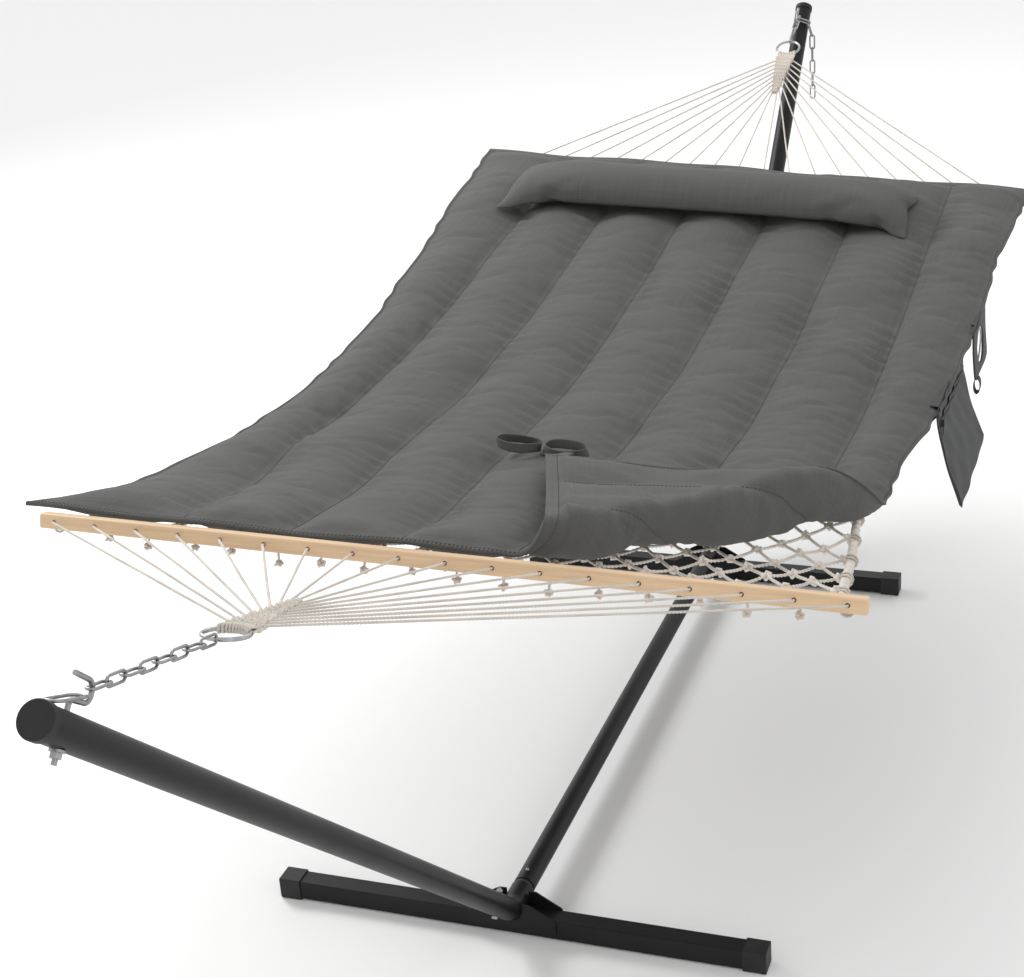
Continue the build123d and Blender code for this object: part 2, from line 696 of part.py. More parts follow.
def make_pad():
    """The quilted pad: one sagging slab whose foot-end right corner is folded back on top of it."""
    widths = [station[2] for station in BED]
    thicks = [PAD_EDGE_THICK] + [PAD_THICK] * (len(BED) - 2) + [PAD_EDGE_THICK]
    beyond = [FOLD_FRONT, (FOLD_FRONT[0], -1200.0), (900.0, -1200.0), (900.0, FOLD_SIDE[1]), FOLD_SIDE]
    with BuildPart() as pad:
        add(bed_layer(BED, 0, widths, thicks))
        add(prism(beyond, 600, 1100), mode=Mode.SUBTRACT)
    with BuildPart() as flap:
        add(bed_layer(BED, -PAD_THICK + 2, widths, [PAD_THICK] * len(BED)))
        add(prism([FOLD_FRONT, FOLD_TIP, FOLD_SIDE], 600, 1100), mode=Mode.INTERSECT)
        add(prism([(-900, -1010), (900, -1010), (900, 0), (-900, 0)], 600, 1100), mode=Mode.INTERSECT)
    with BuildPart() as whole:
        add(pad.part)
        add(flap.part)
    write(whole, "quilted_pad")


def make_net():
    """The bed of knotted rope under the pad, as a thin sheet between the two bars."""
    ends = [
        (BAR_CENTRE[FRONT].Y + BAR_SECTION / 2 + 5, 890.0, 640.0, 0.8),
        (-960.0, 870.0, 625.0, 0.85),
    ]
    inner = [(y, z - PAD_TO_NET, half, tilt) for y, z, half, tilt in BED[2:-1]]
    last = (BAR_CENTRE[REAR].Y - BAR_SECTION / 2 - 5, 852.0, 650.0, 3.0)
    stations = ends + inner + [last]
    widths = [636.0, 615.0, 585.0, 556.0, 548.0, 556.0, 585.0, 618.0, 640.0]
    net = bed_layer(stations, 0, widths, [NET_THICK] * len(stations))
    with BuildPart() as sheet:
        add(net)
    write(sheet, "rope_net")
    for hand, name in ((-1, "left"), (1, "right")):
        with BuildPart() as rope:
            corners = []
            for (y, z, _, tilt), width in zip(stations, widths):
                x = hand * (width + EDGE_ROPE / 2 + EDGE_ROPE_GAP)
                corners.append(Vector(x, y, z - EDGE_ROPE_DROP - x * tan(radians(tilt))))
            with BuildLine() as path:
                FilletPolyline(*corners, radius=EDGE_ROPE_BEND)
            wire = path.wires()[0]
            with BuildSketch(Plane(origin=wire @ 0, z_dir=wire % 0)):
                Circle(EDGE_ROPE / 2)
            sweep(path=wire)
        write(rope, f"net_edge_rope_{name}")


def make_pillow():
    """A long soft pillow lying across the head end of the pad."""
    centre = Vector(*PILLOW_CENTRE)
    slope = degrees(atan2(BED[-1][1] - BED[-3][1], BED[-1][0] - BED[-3][0]))
    with BuildPart() as pillow:
        with BuildSketch(Plane(origin=centre, x_dir=(1, 0, 0), z_dir=(0, 0, 1)).rotated((slope, 2.7, 0))):
            RectangleRounded(PILLOW_LENGTH, PILLOW_WIDTH, 28)
        extrude(amount=PILLOW_THICK / 2, both=True)
        fillet(pillow.edges().filter_by(lambda edge: edge.length > 100), 24)
    write(pillow, "pillow")


def make_bar_tails(side, holes):
    """Short knotted rope ends that hang under a bar beside some of its holes."""
    plane = bar_plane(side)
    with BuildPart() as tails:
        for index in holes:
            top = plane.origin + plane.x_dir * (hole_offsets()[index] + 3)
            top += Vector(0, -side * 4, -BAR_SECTION / 2 - 11)
            low = top + Vector(5 if index % 2 else -4, 0, -BAR_TAIL_LENGTH)
            with Locations(top):
                Sphere(5.0)
            add(round_run(top, low, CORD_DIAMETER))
    write(tails, f"{SIDE_NAME[side]}_bar_tails")


def make_magazine_bag():
    """A flat bag under the pad's right side, with an open pocket between its two walls."""
    thick = 2 * BAG_WALL + BAG_POCKET
    with BuildPart() as bag:
        with BuildSketch(Plane.YZ.offset(BAG_X - thick / 2)):
            with Locations((BAG_CENTRE_Y, BAG_TOP_Z - BAG_DROP / 2)):
                RectangleRounded(BAG_LENGTH, BAG_DROP, 10)
        extrude(amount=thick)
        with BuildSketch(Plane.YZ.offset(BAG_X - BAG_POCKET / 2)):
            with Locations((BAG_CENTRE_Y, BAG_TOP_Z - BAG_DROP / 2 + 10)):
                Rectangle(BAG_LENGTH - 24, BAG_DROP)
        extrude(amount=BAG_POCKET, mode=Mode.SUBTRACT)
    write(bag, "magazine_bag")
    with BuildPart() as slider:
        with BuildSketch(Plane.YZ.offset(BAG_X + thick / 2 + EPS)):
            with Locations((BAG_CENTRE_Y - BAG_LENGTH / 2 + 22, BAG_TOP_Z - 26)):
                RectangleRounded(9, 24, 3)
        extrude(amount=2.5)
    write(slider, "magazine_bag_zip_pull")


def make_cup_holder():
    """A stiff fabric panel with a steel-ringed hole that takes a cup when the panel is swung up."""
    centre = (CUP_CENTRE_Y, CUP_TOP_Z - CUP_DROP / 2 - 4)
    ring_outer = CUP_RING_RADIUS + CUP_RING_WIRE / 2
    with BuildPart() as panel:
        with BuildSketch(Plane.YZ.offset(CUP_X - CUP_THICK / 2)):
            with Locations((CUP_CENTRE_Y, CUP_TOP_Z - CUP_DROP / 2)):
                RectangleRounded(CUP_LENGTH, CUP_DROP, 8)
            with Locations(centre):
                Circle(ring_outer + 0.1, mode=Mode.SUBTRACT)
        extrude(amount=CUP_THICK)
    write(panel, "cup_holder")
    with BuildPart() as ring:
        with BuildSketch(Plane(origin=(CUP_X, *centre), x_dir=(0, 1, 0), z_dir=(0, 0, 1))):
            with Locations((CUP_RING_RADIUS, 0)):
                Circle(CUP_RING_WIRE / 2)
        revolve(axis=Axis((CUP_X, *centre), (1, 0, 0)))
    write(ring, "cup_ring")
    with BuildPart() as loop:
        with BuildSketch(Plane.XZ.offset(-(CUP_CENTRE_Y - CUP_LENGTH / 2 + 30))):
            with Locations((CUP_X, CUP_TOP_Z - CUP_DROP - 17)):
                SlotCenterToCenter(16, 16, rotation=90)
                SlotCenterToCenter(16, 13, rotation=90, mode=Mode.SUBTRACT)
        extrude(amount=12, both=True)
    write(loop, "cup_strap_loop")


def make_pouch_tapes():
    """Sewn tapes on the pad's right side that the bag and the cup holder hang from."""
    with BuildPart() as tapes:
        for x, y, top, length, edge in (
            (BAG_X - BAG_WALL - BAG_POCKET / 2, BAG_CENTRE_Y, BAG_TOP_Z, BAG_LENGTH, 626.0),
            (CUP_X - CUP_THICK / 2, CUP_CENTRE_Y, CUP_TOP_Z, CUP_LENGTH, 646.0),
        ):
            with BuildSketch(Plane.XY.offset(top + 0.5)):
                with Locations(((x - EPS + edge) / 2, y)):
                    Rectangle(x - EPS - edge, length - 30)
            extrude(amount=TAPE_THICK)
    write(tapes, "pouch_tapes")


def make_pad_ties():
    """Two loops of tape sewn to the folded corner, lying on the pad."""
    centre = Plane(origin=(-35, -395, 809), x_dir=(1, 0, 0), z_dir=(0, 0, 1)).rotated((-3.5, 1.2, 0))
    with BuildPart() as ties:
        for x, turn, length in ((-38, 12, 62), (40, -20, 66)):
            with BuildSketch(centre):
                with Locations(Location((x, 0), turn)):
                    SlotCenterToCenter(length, 34)
                    SlotCenterToCenter(length, 14, mode=Mode.SUBTRACT)
            extrude(amount=TAPE_THICK)
    write(ties, "pad_ties")


for end in (FRONT, REAR):
    make_foot(end)
    for hand, name in ((-1, "left"), (1, "right")):
        make_foot_cap(end, hand, name)
    make_saddle(end)
    make_arm(end)
    make_tube_cap(end)
    make_hook(end)
    make_hook_nut(end)
    make_hook_washer(end)
    make_arm_bolt(end)
    make_snap_button(end)
    make_button_spring(end)
    make_ring(end)
    make_bar(end)
    make_clew(end)
    make_suspension(end)
    print(SIDE_NAME[end], "hang", tuple(HANG[end]), "ring", tuple(RING_CENTRE[end]))
make_keel()
make_chain(chain_run(CHAIN_START[FRONT], PULL[FRONT], FRONT_LINKS, 0, 90), "front_chain")
make_chain(chain_run(CHAIN_START[REAR], PULL[REAR], REAR_LINKS, 0, 45), "rear_chain")
make_end_link()
make_chain_tail()
make_net()
make_pad()
make_pillow()
make_bar_tails(FRONT, FRONT_TAIL_HOLES)
make_bar_tails(REAR, REAR_TAIL_HOLES)
make_magazine_bag()
make_cup_holder()
make_pouch_tapes()
make_pad_ties()
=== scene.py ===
"""Two-person hammock on its tubular steel stand: the finished looks built round the fixed frame."""

from __future__ import annotations

import json
import logging
import math
from dataclasses import dataclass, field
from enum import Enum

import bmesh
import bpy
import numpy as np
from mathutils import Matrix, Vector

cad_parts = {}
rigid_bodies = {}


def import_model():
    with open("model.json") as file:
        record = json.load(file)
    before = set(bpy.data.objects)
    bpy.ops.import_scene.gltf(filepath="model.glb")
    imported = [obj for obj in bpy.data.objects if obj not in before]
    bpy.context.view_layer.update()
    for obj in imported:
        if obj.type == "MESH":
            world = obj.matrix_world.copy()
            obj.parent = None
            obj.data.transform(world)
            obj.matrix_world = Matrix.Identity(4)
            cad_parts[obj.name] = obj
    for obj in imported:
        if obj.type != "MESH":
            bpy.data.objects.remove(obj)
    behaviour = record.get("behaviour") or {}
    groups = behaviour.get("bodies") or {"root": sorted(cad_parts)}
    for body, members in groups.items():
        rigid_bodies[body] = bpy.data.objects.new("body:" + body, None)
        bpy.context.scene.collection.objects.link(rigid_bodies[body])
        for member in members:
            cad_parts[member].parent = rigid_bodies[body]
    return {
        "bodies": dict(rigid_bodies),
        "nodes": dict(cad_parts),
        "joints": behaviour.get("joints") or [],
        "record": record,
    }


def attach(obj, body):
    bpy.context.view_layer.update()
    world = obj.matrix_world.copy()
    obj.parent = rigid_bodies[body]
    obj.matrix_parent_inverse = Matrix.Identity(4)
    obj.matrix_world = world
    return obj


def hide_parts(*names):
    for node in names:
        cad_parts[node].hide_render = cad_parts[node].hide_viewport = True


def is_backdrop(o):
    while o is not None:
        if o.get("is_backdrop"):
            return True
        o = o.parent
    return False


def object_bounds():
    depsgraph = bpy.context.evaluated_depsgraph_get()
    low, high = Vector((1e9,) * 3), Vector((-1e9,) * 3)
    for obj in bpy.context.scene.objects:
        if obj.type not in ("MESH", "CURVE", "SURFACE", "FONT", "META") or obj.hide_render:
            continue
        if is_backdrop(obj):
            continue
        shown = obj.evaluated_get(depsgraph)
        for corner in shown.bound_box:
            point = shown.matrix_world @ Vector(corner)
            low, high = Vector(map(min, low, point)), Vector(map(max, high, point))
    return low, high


LOG = logging.getLogger("hammock")
COTTON_DEPTH = 0.14
COTTON_LAY = 0.014
Triple = tuple[float, float, float]


# ---------------------------------------------------------------------------------------- camera and light
@dataclass(frozen=True)
class Camera:
    """The viewpoint: beside the foot end, looking down over the bed towards the head end."""

    place: Triple = (1.06965, -3.30485, 2.10455)
    azimuth: float = 0.372854
    elevation: float = 0.415981
    roll: float = -0.0800708
    lens: float = 65.96
    sensor: float = 36.0

    def build(self) -> bpy.types.Object:
        """Makes the camera and sets it as the scene's."""
        az, el, roll = self.azimuth, self.elevation, self.roll
        forward = Vector((-math.sin(az) * math.cos(el), math.cos(az) * math.cos(el), -math.sin(el)))
        right = Vector((math.cos(az), math.sin(az), 0.0))
        up = right.cross(forward)
        side = right * math.cos(roll) + up * math.sin(roll)
        top = up * math.cos(roll) - right * math.sin(roll)
        data = bpy.data.cameras.new("camera")
        data.lens, data.sensor_width = self.lens, self.sensor
        data.clip_end = 100.0
        camera = bpy.data.objects.new("camera", data)
        matrix = Matrix((side, top, -forward)).transposed().to_4x4()
        matrix.translation = Vector(self.place)
        camera.matrix_world = matrix
        bpy.context.scene.collection.objects.link(camera)
        bpy.context.scene.camera = camera
        return camera


@dataclass(frozen=True)
class Lamp:
    """A square soft lamp that faces the bed."""

    name: str
    place: Triple
    size: float
    power: float
    aim: Triple = (0.0, 0.0, 0.8)

    def build(self) -> None:
        """Makes the lamp."""
        lamp = bpy.data.lights.new(self.name, "AREA")
        lamp.size, lamp.energy = self.size, self.power
        carrier = bpy.data.objects.new(self.name, lamp)
        carrier.location = self.place
        carrier.rotation_euler = (Vector(self.aim) - Vector(self.place)).to_track_quat("-Z", "Y").to_euler()
        bpy.context.scene.collection.objects.link(carrier)


@dataclass(frozen=True)
class Studio:
    """A pale floor and soft lights."""

    floor_size: float = 60.0
    floor_drop: float = 0.0005
    sky: float = 0.96
    lamps: tuple[Lamp, ...] = (
        Lamp("key_lamp", (-3.8, 1.6, 3.6), 1.8, 150.0),
        Lamp("fill_lamp", (4.5, -3.0, 3.5), 3.5, 12.0),
        Lamp("rim_lamp", (0.5, 5.5, 4.5), 3.0, 30.0),
    )

    def build(self, floor_material: bpy.types.Material) -> None:
        """Makes the floor, the sky and three soft lamps.

        Args:
            floor_material: the finish of the floor.
        """
        half = self.floor_size / 2
        mesh = bpy.data.meshes.new("studio_floor")
        corners = [(x * half, y * half, -self.floor_drop) for x, y in ((-1, -1), (1, -1), (1, 1), (-1, 1))]
        mesh.from_pydata(corners, [], [(0, 1, 2, 3)])
        floor = bpy.data.objects.new("studio_floor", mesh)
        mesh.materials.append(floor_material)
        bpy.context.scene.collection.objects.link(floor)
        floor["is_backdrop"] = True
        world = bpy.data.worlds.new("studio")
        world.use_nodes = True
        back = world.node_tree.nodes["Background"]
        back.inputs["Color"].default_value = (1.0, 1.0, 1.0, 1.0)
        back.inputs["Strength"].default_value = self.sky
        bpy.context.scene.world = world
        bpy.context.scene.view_settings.view_transform = "Standard"
        for lamp in self.lamps:
            lamp.build()


# ---------------------------------------------------------------------------------------- finishes
class Coords(Enum):
    """What a pattern follows: the object itself, or the piece's own cloth map."""

    OBJECT = "Object"
    CLOTH = "UV"


class Shader:
    """A small helper that wires one material's nodes."""

    def __init__(self, name: str, colour: Triple, roughness: float, metallic: float = 0.0) -> None:
        """Starts a material with one principled shader."""
        self.material = bpy.data.materials.new(name)
        self.material.use_nodes = True
        self.tree = self.material.node_tree
        self.surface = self.tree.nodes["Principled BSDF"]
        self.surface.inputs["Base Color"].default_value = (*colour, 1.0)
        self.surface.inputs["Roughness"].default_value = roughness
        self.surface.inputs["Metallic"].default_value = metallic
        self.material.diffuse_color = (*colour, 1.0)

    def node(self, kind: str, **values: object) -> bpy.types.Node:
        """Adds a node and sets its properties or inputs.

        Args:
            kind: the node's type.
            values: property names, or input names with spaces written as underscores.

        Returns:
            The node.
        """
        node = self.tree.nodes.new(kind)
        for key, value in values.items():
            if hasattr(node, key):
                setattr(node, key, value)
            else:
                self.put(node.inputs[key.replace("_", " ")], value)
        return node

    def put(self, socket: bpy.types.NodeSocket, value: object) -> None:
        """Links a socket to another, or sets its value."""
        if isinstance(value, bpy.types.NodeSocket):
            self.tree.links.new(value, socket)
        else:
            socket.default_value = value

    def where(self, kind: Coords = Coords.OBJECT, stretch: Triple = (1.0, 1.0, 1.0)) -> object:
        """The coordinates of a pattern, stretched along each axis."""
        source = self.node("ShaderNodeTexCoord")
        mapping = self.node("ShaderNodeMapping", Vector=source.outputs[kind.value], Scale=stretch)
        return mapping.outputs["Vector"]

    def noise(self, vector: object, scale: float, detail: float = 3.0, rough: float = 0.5) -> object:
        """A noise value."""
        node = self.node("ShaderNodeTexNoise", Vector=vector, Scale=scale, Detail=detail, Roughness=rough)
        return node.outputs["Fac"]

    def wave(self, vector: object, scale: float, axis: str = "X", wobble: float = 0.0) -> object:
        """A set of bands across one axis."""
        node = self.node("ShaderNodeTexWave", Vector=vector, Scale=scale, Distortion=wobble)
        node.bands_direction = axis
        return node.outputs["Fac"]

    def spread(self, value: object, low: float, high: float) -> object:
        """Maps a value from 0..1 to low..high."""
        return self.node("ShaderNodeMapRange", Value=value, To_Min=low, To_Max=high).outputs["Result"]

    def blend(self, share: object, first: Triple, second: Triple) -> object:
        """A colour between two, by a share."""
        ramp = self.node("ShaderNodeValToRGB", Fac=share)
        ramp.color_ramp.elements[0].color = (*first, 1.0)
        ramp.color_ramp.elements[0].position = 0.3
        ramp.color_ramp.elements[1].color = (*second, 1.0)
        ramp.color_ramp.elements[1].position = 0.72
        return ramp.outputs["Color"]

    def sum(self, first: object, second: object, how: str = "ADD") -> object:
        """Two values put together."""
        node = self.node("ShaderNodeMath", operation=how)
        self.put(node.inputs[0], first)
        self.put(node.inputs[1], second)
        return node.outputs[0]

    def colour(self, value: object) -> None:
        """Sets the base colour from a pattern."""
        self.put(self.surface.inputs["Base Color"], value)

    def gloss(self, value: object) -> None:
        """Sets the roughness from a pattern."""
        self.put(self.surface.inputs["Roughness"], value)

    def relief(self, height: object, strength: float, depth: float) -> None:
        """Adds a bump from a height pattern, in metres of depth."""
        bump = self.node("ShaderNodeBump", Height=height, Strength=strength, Distance=depth)
        self.put(self.surface.inputs["Normal"], bump.outputs["Normal"])


def shaded(colour: Triple, factor: float) -> Triple:
    """A colour made darker or lighter."""
    return tuple(min(1.0, part * factor) for part in colour)


@dataclass(frozen=True)
class PowderCoat:
    """Satin black powder coat with a faint orange peel and small rubs."""

    name: str = "black_powder_coat"
    base: Triple = (0.0075, 0.0075, 0.008)

    def material(self) -> bpy.types.Material:
        """Builds the finish."""
        paint = Shader(self.name, self.base, 0.42)
        place = paint.where()
        peel = paint.noise(place, 900.0, 2.0)
        cloud = paint.noise(place, 9.0, 4.0)
        paint.colour(paint.blend(cloud, self.base, shaded(self.base, 1.5)))
        paint.gloss(paint.spread(cloud, 0.34, 0.5))
        paint.relief(peel, 0.12, 0.0004)
        paint.surface.inputs["Specular IOR Level"].default_value = 0.22
        return paint.material


@dataclass(frozen=True)
class MouldedPlastic:
    """Matt moulded plastic with a fine spark-eroded grain."""

    name: str = "moulded_black_plastic"
    base: Triple = (0.012, 0.012, 0.013)

    def material(self) -> bpy.types.Material:
        """Builds the finish."""
        plastic = Shader(self.name, self.base, 0.55)
        place = plastic.where()
        grain = plastic.noise(place, 1400.0, 2.0)
        scuff = plastic.noise(place, 30.0, 5.0, 0.6)
        plastic.colour(plastic.blend(scuff, self.base, shaded(self.base, 1.8)))
        plastic.gloss(plastic.spread(scuff, 0.45, 0.66))
        plastic.relief(grain, 0.25, 0.0002)
        plastic.surface.inputs["Specular IOR Level"].default_value = 0.3
        return plastic.material


@dataclass(frozen=True)
class Zinc:
    """Zinc on steel: a dull galvanised skin, or a brighter plated one."""

    name: str
    base: Triple
    shine: float

    def material(self) -> bpy.types.Material:
        """Builds the finish."""
        zinc = Shader(self.name, self.base, self.shine, 1.0)
        place = zinc.where()
        spangle = zinc.node("ShaderNodeTexVoronoi", Vector=place, Scale=260.0).outputs["Distance"]
        stain = zinc.noise(place, 70.0, 5.0, 0.65)
        zinc.colour(zinc.blend(stain, shaded(self.base, 0.72), shaded(self.base, 1.08)))
        zinc.gloss(zinc.spread(stain, self.shine - 0.1, self.shine + 0.14))
        zinc.relief(zinc.sum(spangle, stain), 0.18, 0.0003)
        return zinc.material


@dataclass(frozen=True)
class Timber:
    """Pale straight-grained hardwood under a thin varnish, its grain along the bar."""

    name: str = "bar_timber"
    base: Triple = (0.66, 0.45, 0.26)

    def material(self) -> bpy.types.Material:
        """Builds the finish."""
        wood = Shader(self.name, self.base, 0.5)
        along = wood.where(stretch=(1.2, 26.0, 26.0))
        fine = wood.where(stretch=(9.0, 420.0, 420.0))
        figure = wood.noise(along, 3.2, 6.0, 0.6)
        pores = wood.noise(fine, 1.0, 3.0, 0.6)
        tone = wood.sum(wood.sum(figure, 0.72, "MULTIPLY"), wood.sum(pores, 0.3, "MULTIPLY"))
        wood.colour(wood.blend(tone, shaded(self.base, 0.78), (0.74, 0.535, 0.34)))
        wood.gloss(wood.spread(pores, 0.4, 0.6))
        wood.relief(pores, 0.25, 0.0004)
        return wood.material


@dataclass(frozen=True)
class TwistedCotton:
    """Off-white cotton cord with fine fibres and a little soiling."""

    name: str = "twisted_cotton"
    base: Triple = (0.68, 0.62, 0.55)

    def material(self) -> bpy.types.Material:
        """Builds the finish."""
        cotton = Shader(self.name, self.base, 0.9)
        place = cotton.where()
        fibre = cotton.noise(place, 1500.0, 3.0, 0.7)
        soil = cotton.noise(place, 16.0, 4.0)
        cotton.colour(cotton.blend(soil, shaded(self.base, 0.86), shaded(self.base, 1.1)))
        cotton.gloss(cotton.spread(fibre, 0.82, 0.98))
        cotton.relief(fibre, 0.5, 0.0006)
        cotton.surface.inputs["Sheen Weight"].default_value = 0.25
        cotton.surface.inputs["Sheen Roughness"].default_value = 0.5
        return cotton.material


@dataclass(frozen=True)
class WovenPolyester:
    """Plain-woven polyester cloth: crossed threads, slubs and a slight sheen."""

    name: str
    base: Triple
    threads: float = 900.0
    sheen: float = 0.35
    roughness: float = 0.78

    def material(self) -> bpy.types.Material:
        """Builds the finish."""
        cloth = Shader(self.name, self.base, self.roughness)
        place = cloth.where(Coords.CLOTH)
        warp = cloth.wave(place, self.threads, "X", 0.6)
        weft = cloth.wave(place, self.threads, "Y", 0.6)
        slub_x = cloth.noise(cloth.where(Coords.CLOTH, (6.0, 420.0, 1.0)), 1.0, 3.0)
        slub_y = cloth.noise(cloth.where(Coords.CLOTH, (420.0, 6.0, 1.0)), 1.0, 3.0)
        cloud = cloth.noise(place, 5.0, 4.0, 0.6)
        threads = cloth.sum(warp, weft)
        slub = cloth.sum(slub_x, slub_y)
        tone = cloth.sum(cloth.sum(slub, 0.36, "MULTIPLY"), cloth.sum(cloud, 0.3, "MULTIPLY"))
        cloth.colour(cloth.blend(tone, shaded(self.base, 0.78), shaded(self.base, 1.26)))
        cloth.gloss(cloth.spread(cloud, self.roughness - 0.06, self.roughness + 0.08))
        cloth.relief(cloth.sum(threads, slub), 0.35, 0.0003)
        cloth.surface.inputs["Sheen Weight"].default_value = self.sheen
        cloth.surface.inputs["Sheen Roughness"].default_value = 0.45
        return cloth.material


@dataclass(frozen=True)
class FloorPaint:
    """A plain pale studio floor."""

    name: str = "pale_floor"

    def material(self) -> bpy.types.Material:
        """Builds the finish."""
        paint = Shader(self.name, (0.92, 0.92, 0.92), 0.85)
        soft = paint.noise(paint.where(), 2.0, 2.0)
        paint.gloss(paint.spread(soft, 0.82, 0.9))
        return paint.material


class Finishes:
    """Every finish of the hammock, built once."""

    def __init__(self) -> None:
        """Builds the materials."""
        self.paint = PowderCoat().material()
        self.plastic = MouldedPlastic().material()
        self.galvanised = Zinc("galvanised_steel_finish", (0.36, 0.365, 0.365), 0.34).material()
        self.plated = Zinc("plated_ring_finish", (0.44, 0.445, 0.45), 0.24).material()
        self.spring = Zinc("spring_steel_finish", (0.45, 0.45, 0.46), 0.28).material()
        self.timber = Timber().material()
        self.cotton = TwistedCotton().material()
        self.cloth = WovenPolyester("pad_cloth", (0.079, 0.079, 0.075), 900.0, 0.04, 0.9).material()
        self.thread = WovenPolyester("sewing_thread", (0.045, 0.045, 0.043), 2400.0, 0.05, 0.8).material()
        self.pouch = WovenPolyester("pouch_cloth", (0.03, 0.031, 0.032), 700.0, 0.05, 0.72).material()
        self.zip = PowderCoat("zip_enamel", (0.02, 0.02, 0.02)).material()
        self.floor = FloorPaint().material()

    def of_slot(self, slot: str) -> bpy.types.Material:
        """The finish of a record slot that a fixed node keeps.

        Args:
            slot: the record's material slot.

        Returns:
            The material.
        """
        return {
            "black_steel": self.paint,
            "black_plastic": self.plastic,
            "galvanised_steel": self.galvanised,
            "plated_steel": self.plated,
            "spring_steel": self.spring,
            "cotton_cord": self.cotton,
            "bar_wood": self.timber,
            "pad_fabric": self.cloth,
            "pouch_fabric": self.pouch,
            "zip_metal": self.zip,
        }[slot]


# ---------------------------------------------------------------------------------------- shared makers
class Recipe:
    """A geometry-node tree with named inputs that ends in real geometry and one material."""

    def __init__(self, name: str) -> None:
        """Starts a tree with a geometry input and output."""
        self.tree = bpy.data.node_groups.new(name, "GeometryNodeTree")
        self.tree.interface.new_socket("Geometry", in_out="INPUT", socket_type="NodeSocketGeometry")
        self.tree.interface.new_socket("Geometry", in_out="OUTPUT", socket_type="NodeSocketGeometry")
        self.source = self.tree.nodes.new("NodeGroupInput")
        self.keys: dict[str, str] = {}

    def size(self, name: str, value: float, kind: str = "NodeSocketFloat") -> None:
        """Adds a named input with its usual value."""
        socket = self.tree.interface.new_socket(name, in_out="INPUT", socket_type=kind)
        if kind != "NodeSocketMaterial":
            socket.default_value = value
        self.keys[name] = socket.identifier

    def given(self, name: str) -> object:
        """The socket of a named input."""
        return self.source.outputs[name]

    def node(self, kind: str, **values: object) -> bpy.types.Node:
        """Adds a node and sets its properties or inputs."""
        node = self.tree.nodes.new(kind)
        inputs = {key: value for key, value in values.items() if not hasattr(node, key)}
        for key, value in values.items():
            if key not in inputs:
                setattr(node, key, value)
        for key, value in inputs.items():
            self.put(next(s for s in node.inputs if s.name == key.replace("_", " ") and s.enabled), value)
        return node

    def put(self, socket: bpy.types.NodeSocket, value: object) -> None:
        """Links a socket, or sets its value."""
        if isinstance(value, bpy.types.NodeSocket):
            self.tree.links.new(value, socket)
        else:
            socket.default_value = value

    def math(self, how: str, first: object, second: object = 0.0) -> object:
        """One arithmetic step."""
        node = self.tree.nodes.new("ShaderNodeMath")
        node.operation = how
        self.put(node.inputs[0], first)
        self.put(node.inputs[1], second)
        return node.outputs[0]

    def finish(self, geometry: object) -> None:
        """Realises instances, sets the material and closes the tree."""
        self.size("Finish", 0.0, "NodeSocketMaterial")
        real = self.node("GeometryNodeRealizeInstances", Geometry=geometry)
        smooth = self.node("GeometryNodeSetShadeSmooth", Geometry=real.outputs["Geometry"])
        dressed = self.node(
            "GeometryNodeSetMaterial", Geometry=smooth.outputs["Geometry"], Material=self.given("Finish")
        )
        end = self.tree.nodes.new("NodeGroupOutput")
        self.tree.links.new(dressed.outputs["Geometry"], end.inputs[0])

    def apply(self, source: bpy.types.Mesh, name: str, finish: bpy.types.Material, **sizes: object) -> bpy.types.Object:
        """Runs the tree on a guide mesh and keeps the result as a plain mesh.

        Args:
            source: the guide mesh.
            name: the new piece's name.
            finish: its material.
            sizes: values of the named inputs, with spaces written as underscores.

        Returns:
            The new object, at the origin.
        """
        guide = bpy.data.objects.new(f"{name}_guide", source)
        bpy.context.scene.collection.objects.link(guide)
        modifier = guide.modifiers.new("recipe", "NODES")
        modifier.node_group = self.tree
        modifier[self.keys["Finish"]] = finish
        for key, value in sizes.items():
            modifier[self.keys[key.replace("_", " ")]] = value
        guide.update_tag()
        graph = bpy.context.evaluated_depsgraph_get()
        mesh = bpy.data.meshes.new_from_object(guide.evaluated_get(graph))
        mesh.name = name
        bpy.data.objects.remove(guide)
        return link_mesh(mesh, name)


def link_mesh(mesh: bpy.types.Mesh, name: str) -> bpy.types.Object:
    """Puts a mesh into the scene as an object at the origin."""
    piece = bpy.data.objects.new(name, mesh)
    bpy.context.scene.collection.objects.link(piece)
    return piece


def guide_lines(name: str, lines: list[np.ndarray]) -> bpy.types.Mesh:
    """A mesh of open polylines for a recipe to follow.

    Args:
        name: the mesh's name.
        lines: one array of points per line.

    Returns:
        The guide mesh.
    """
    points, edges = [], []
    for line in lines:
        first = len(points)
        points += [tuple(float(v) for v in point) for point in line]
        edges += [(first + i, first + i + 1) for i in range(len(line) - 1)]
    mesh = bpy.data.meshes.new(name)
    mesh.from_pydata(points, edges, [])
    return mesh


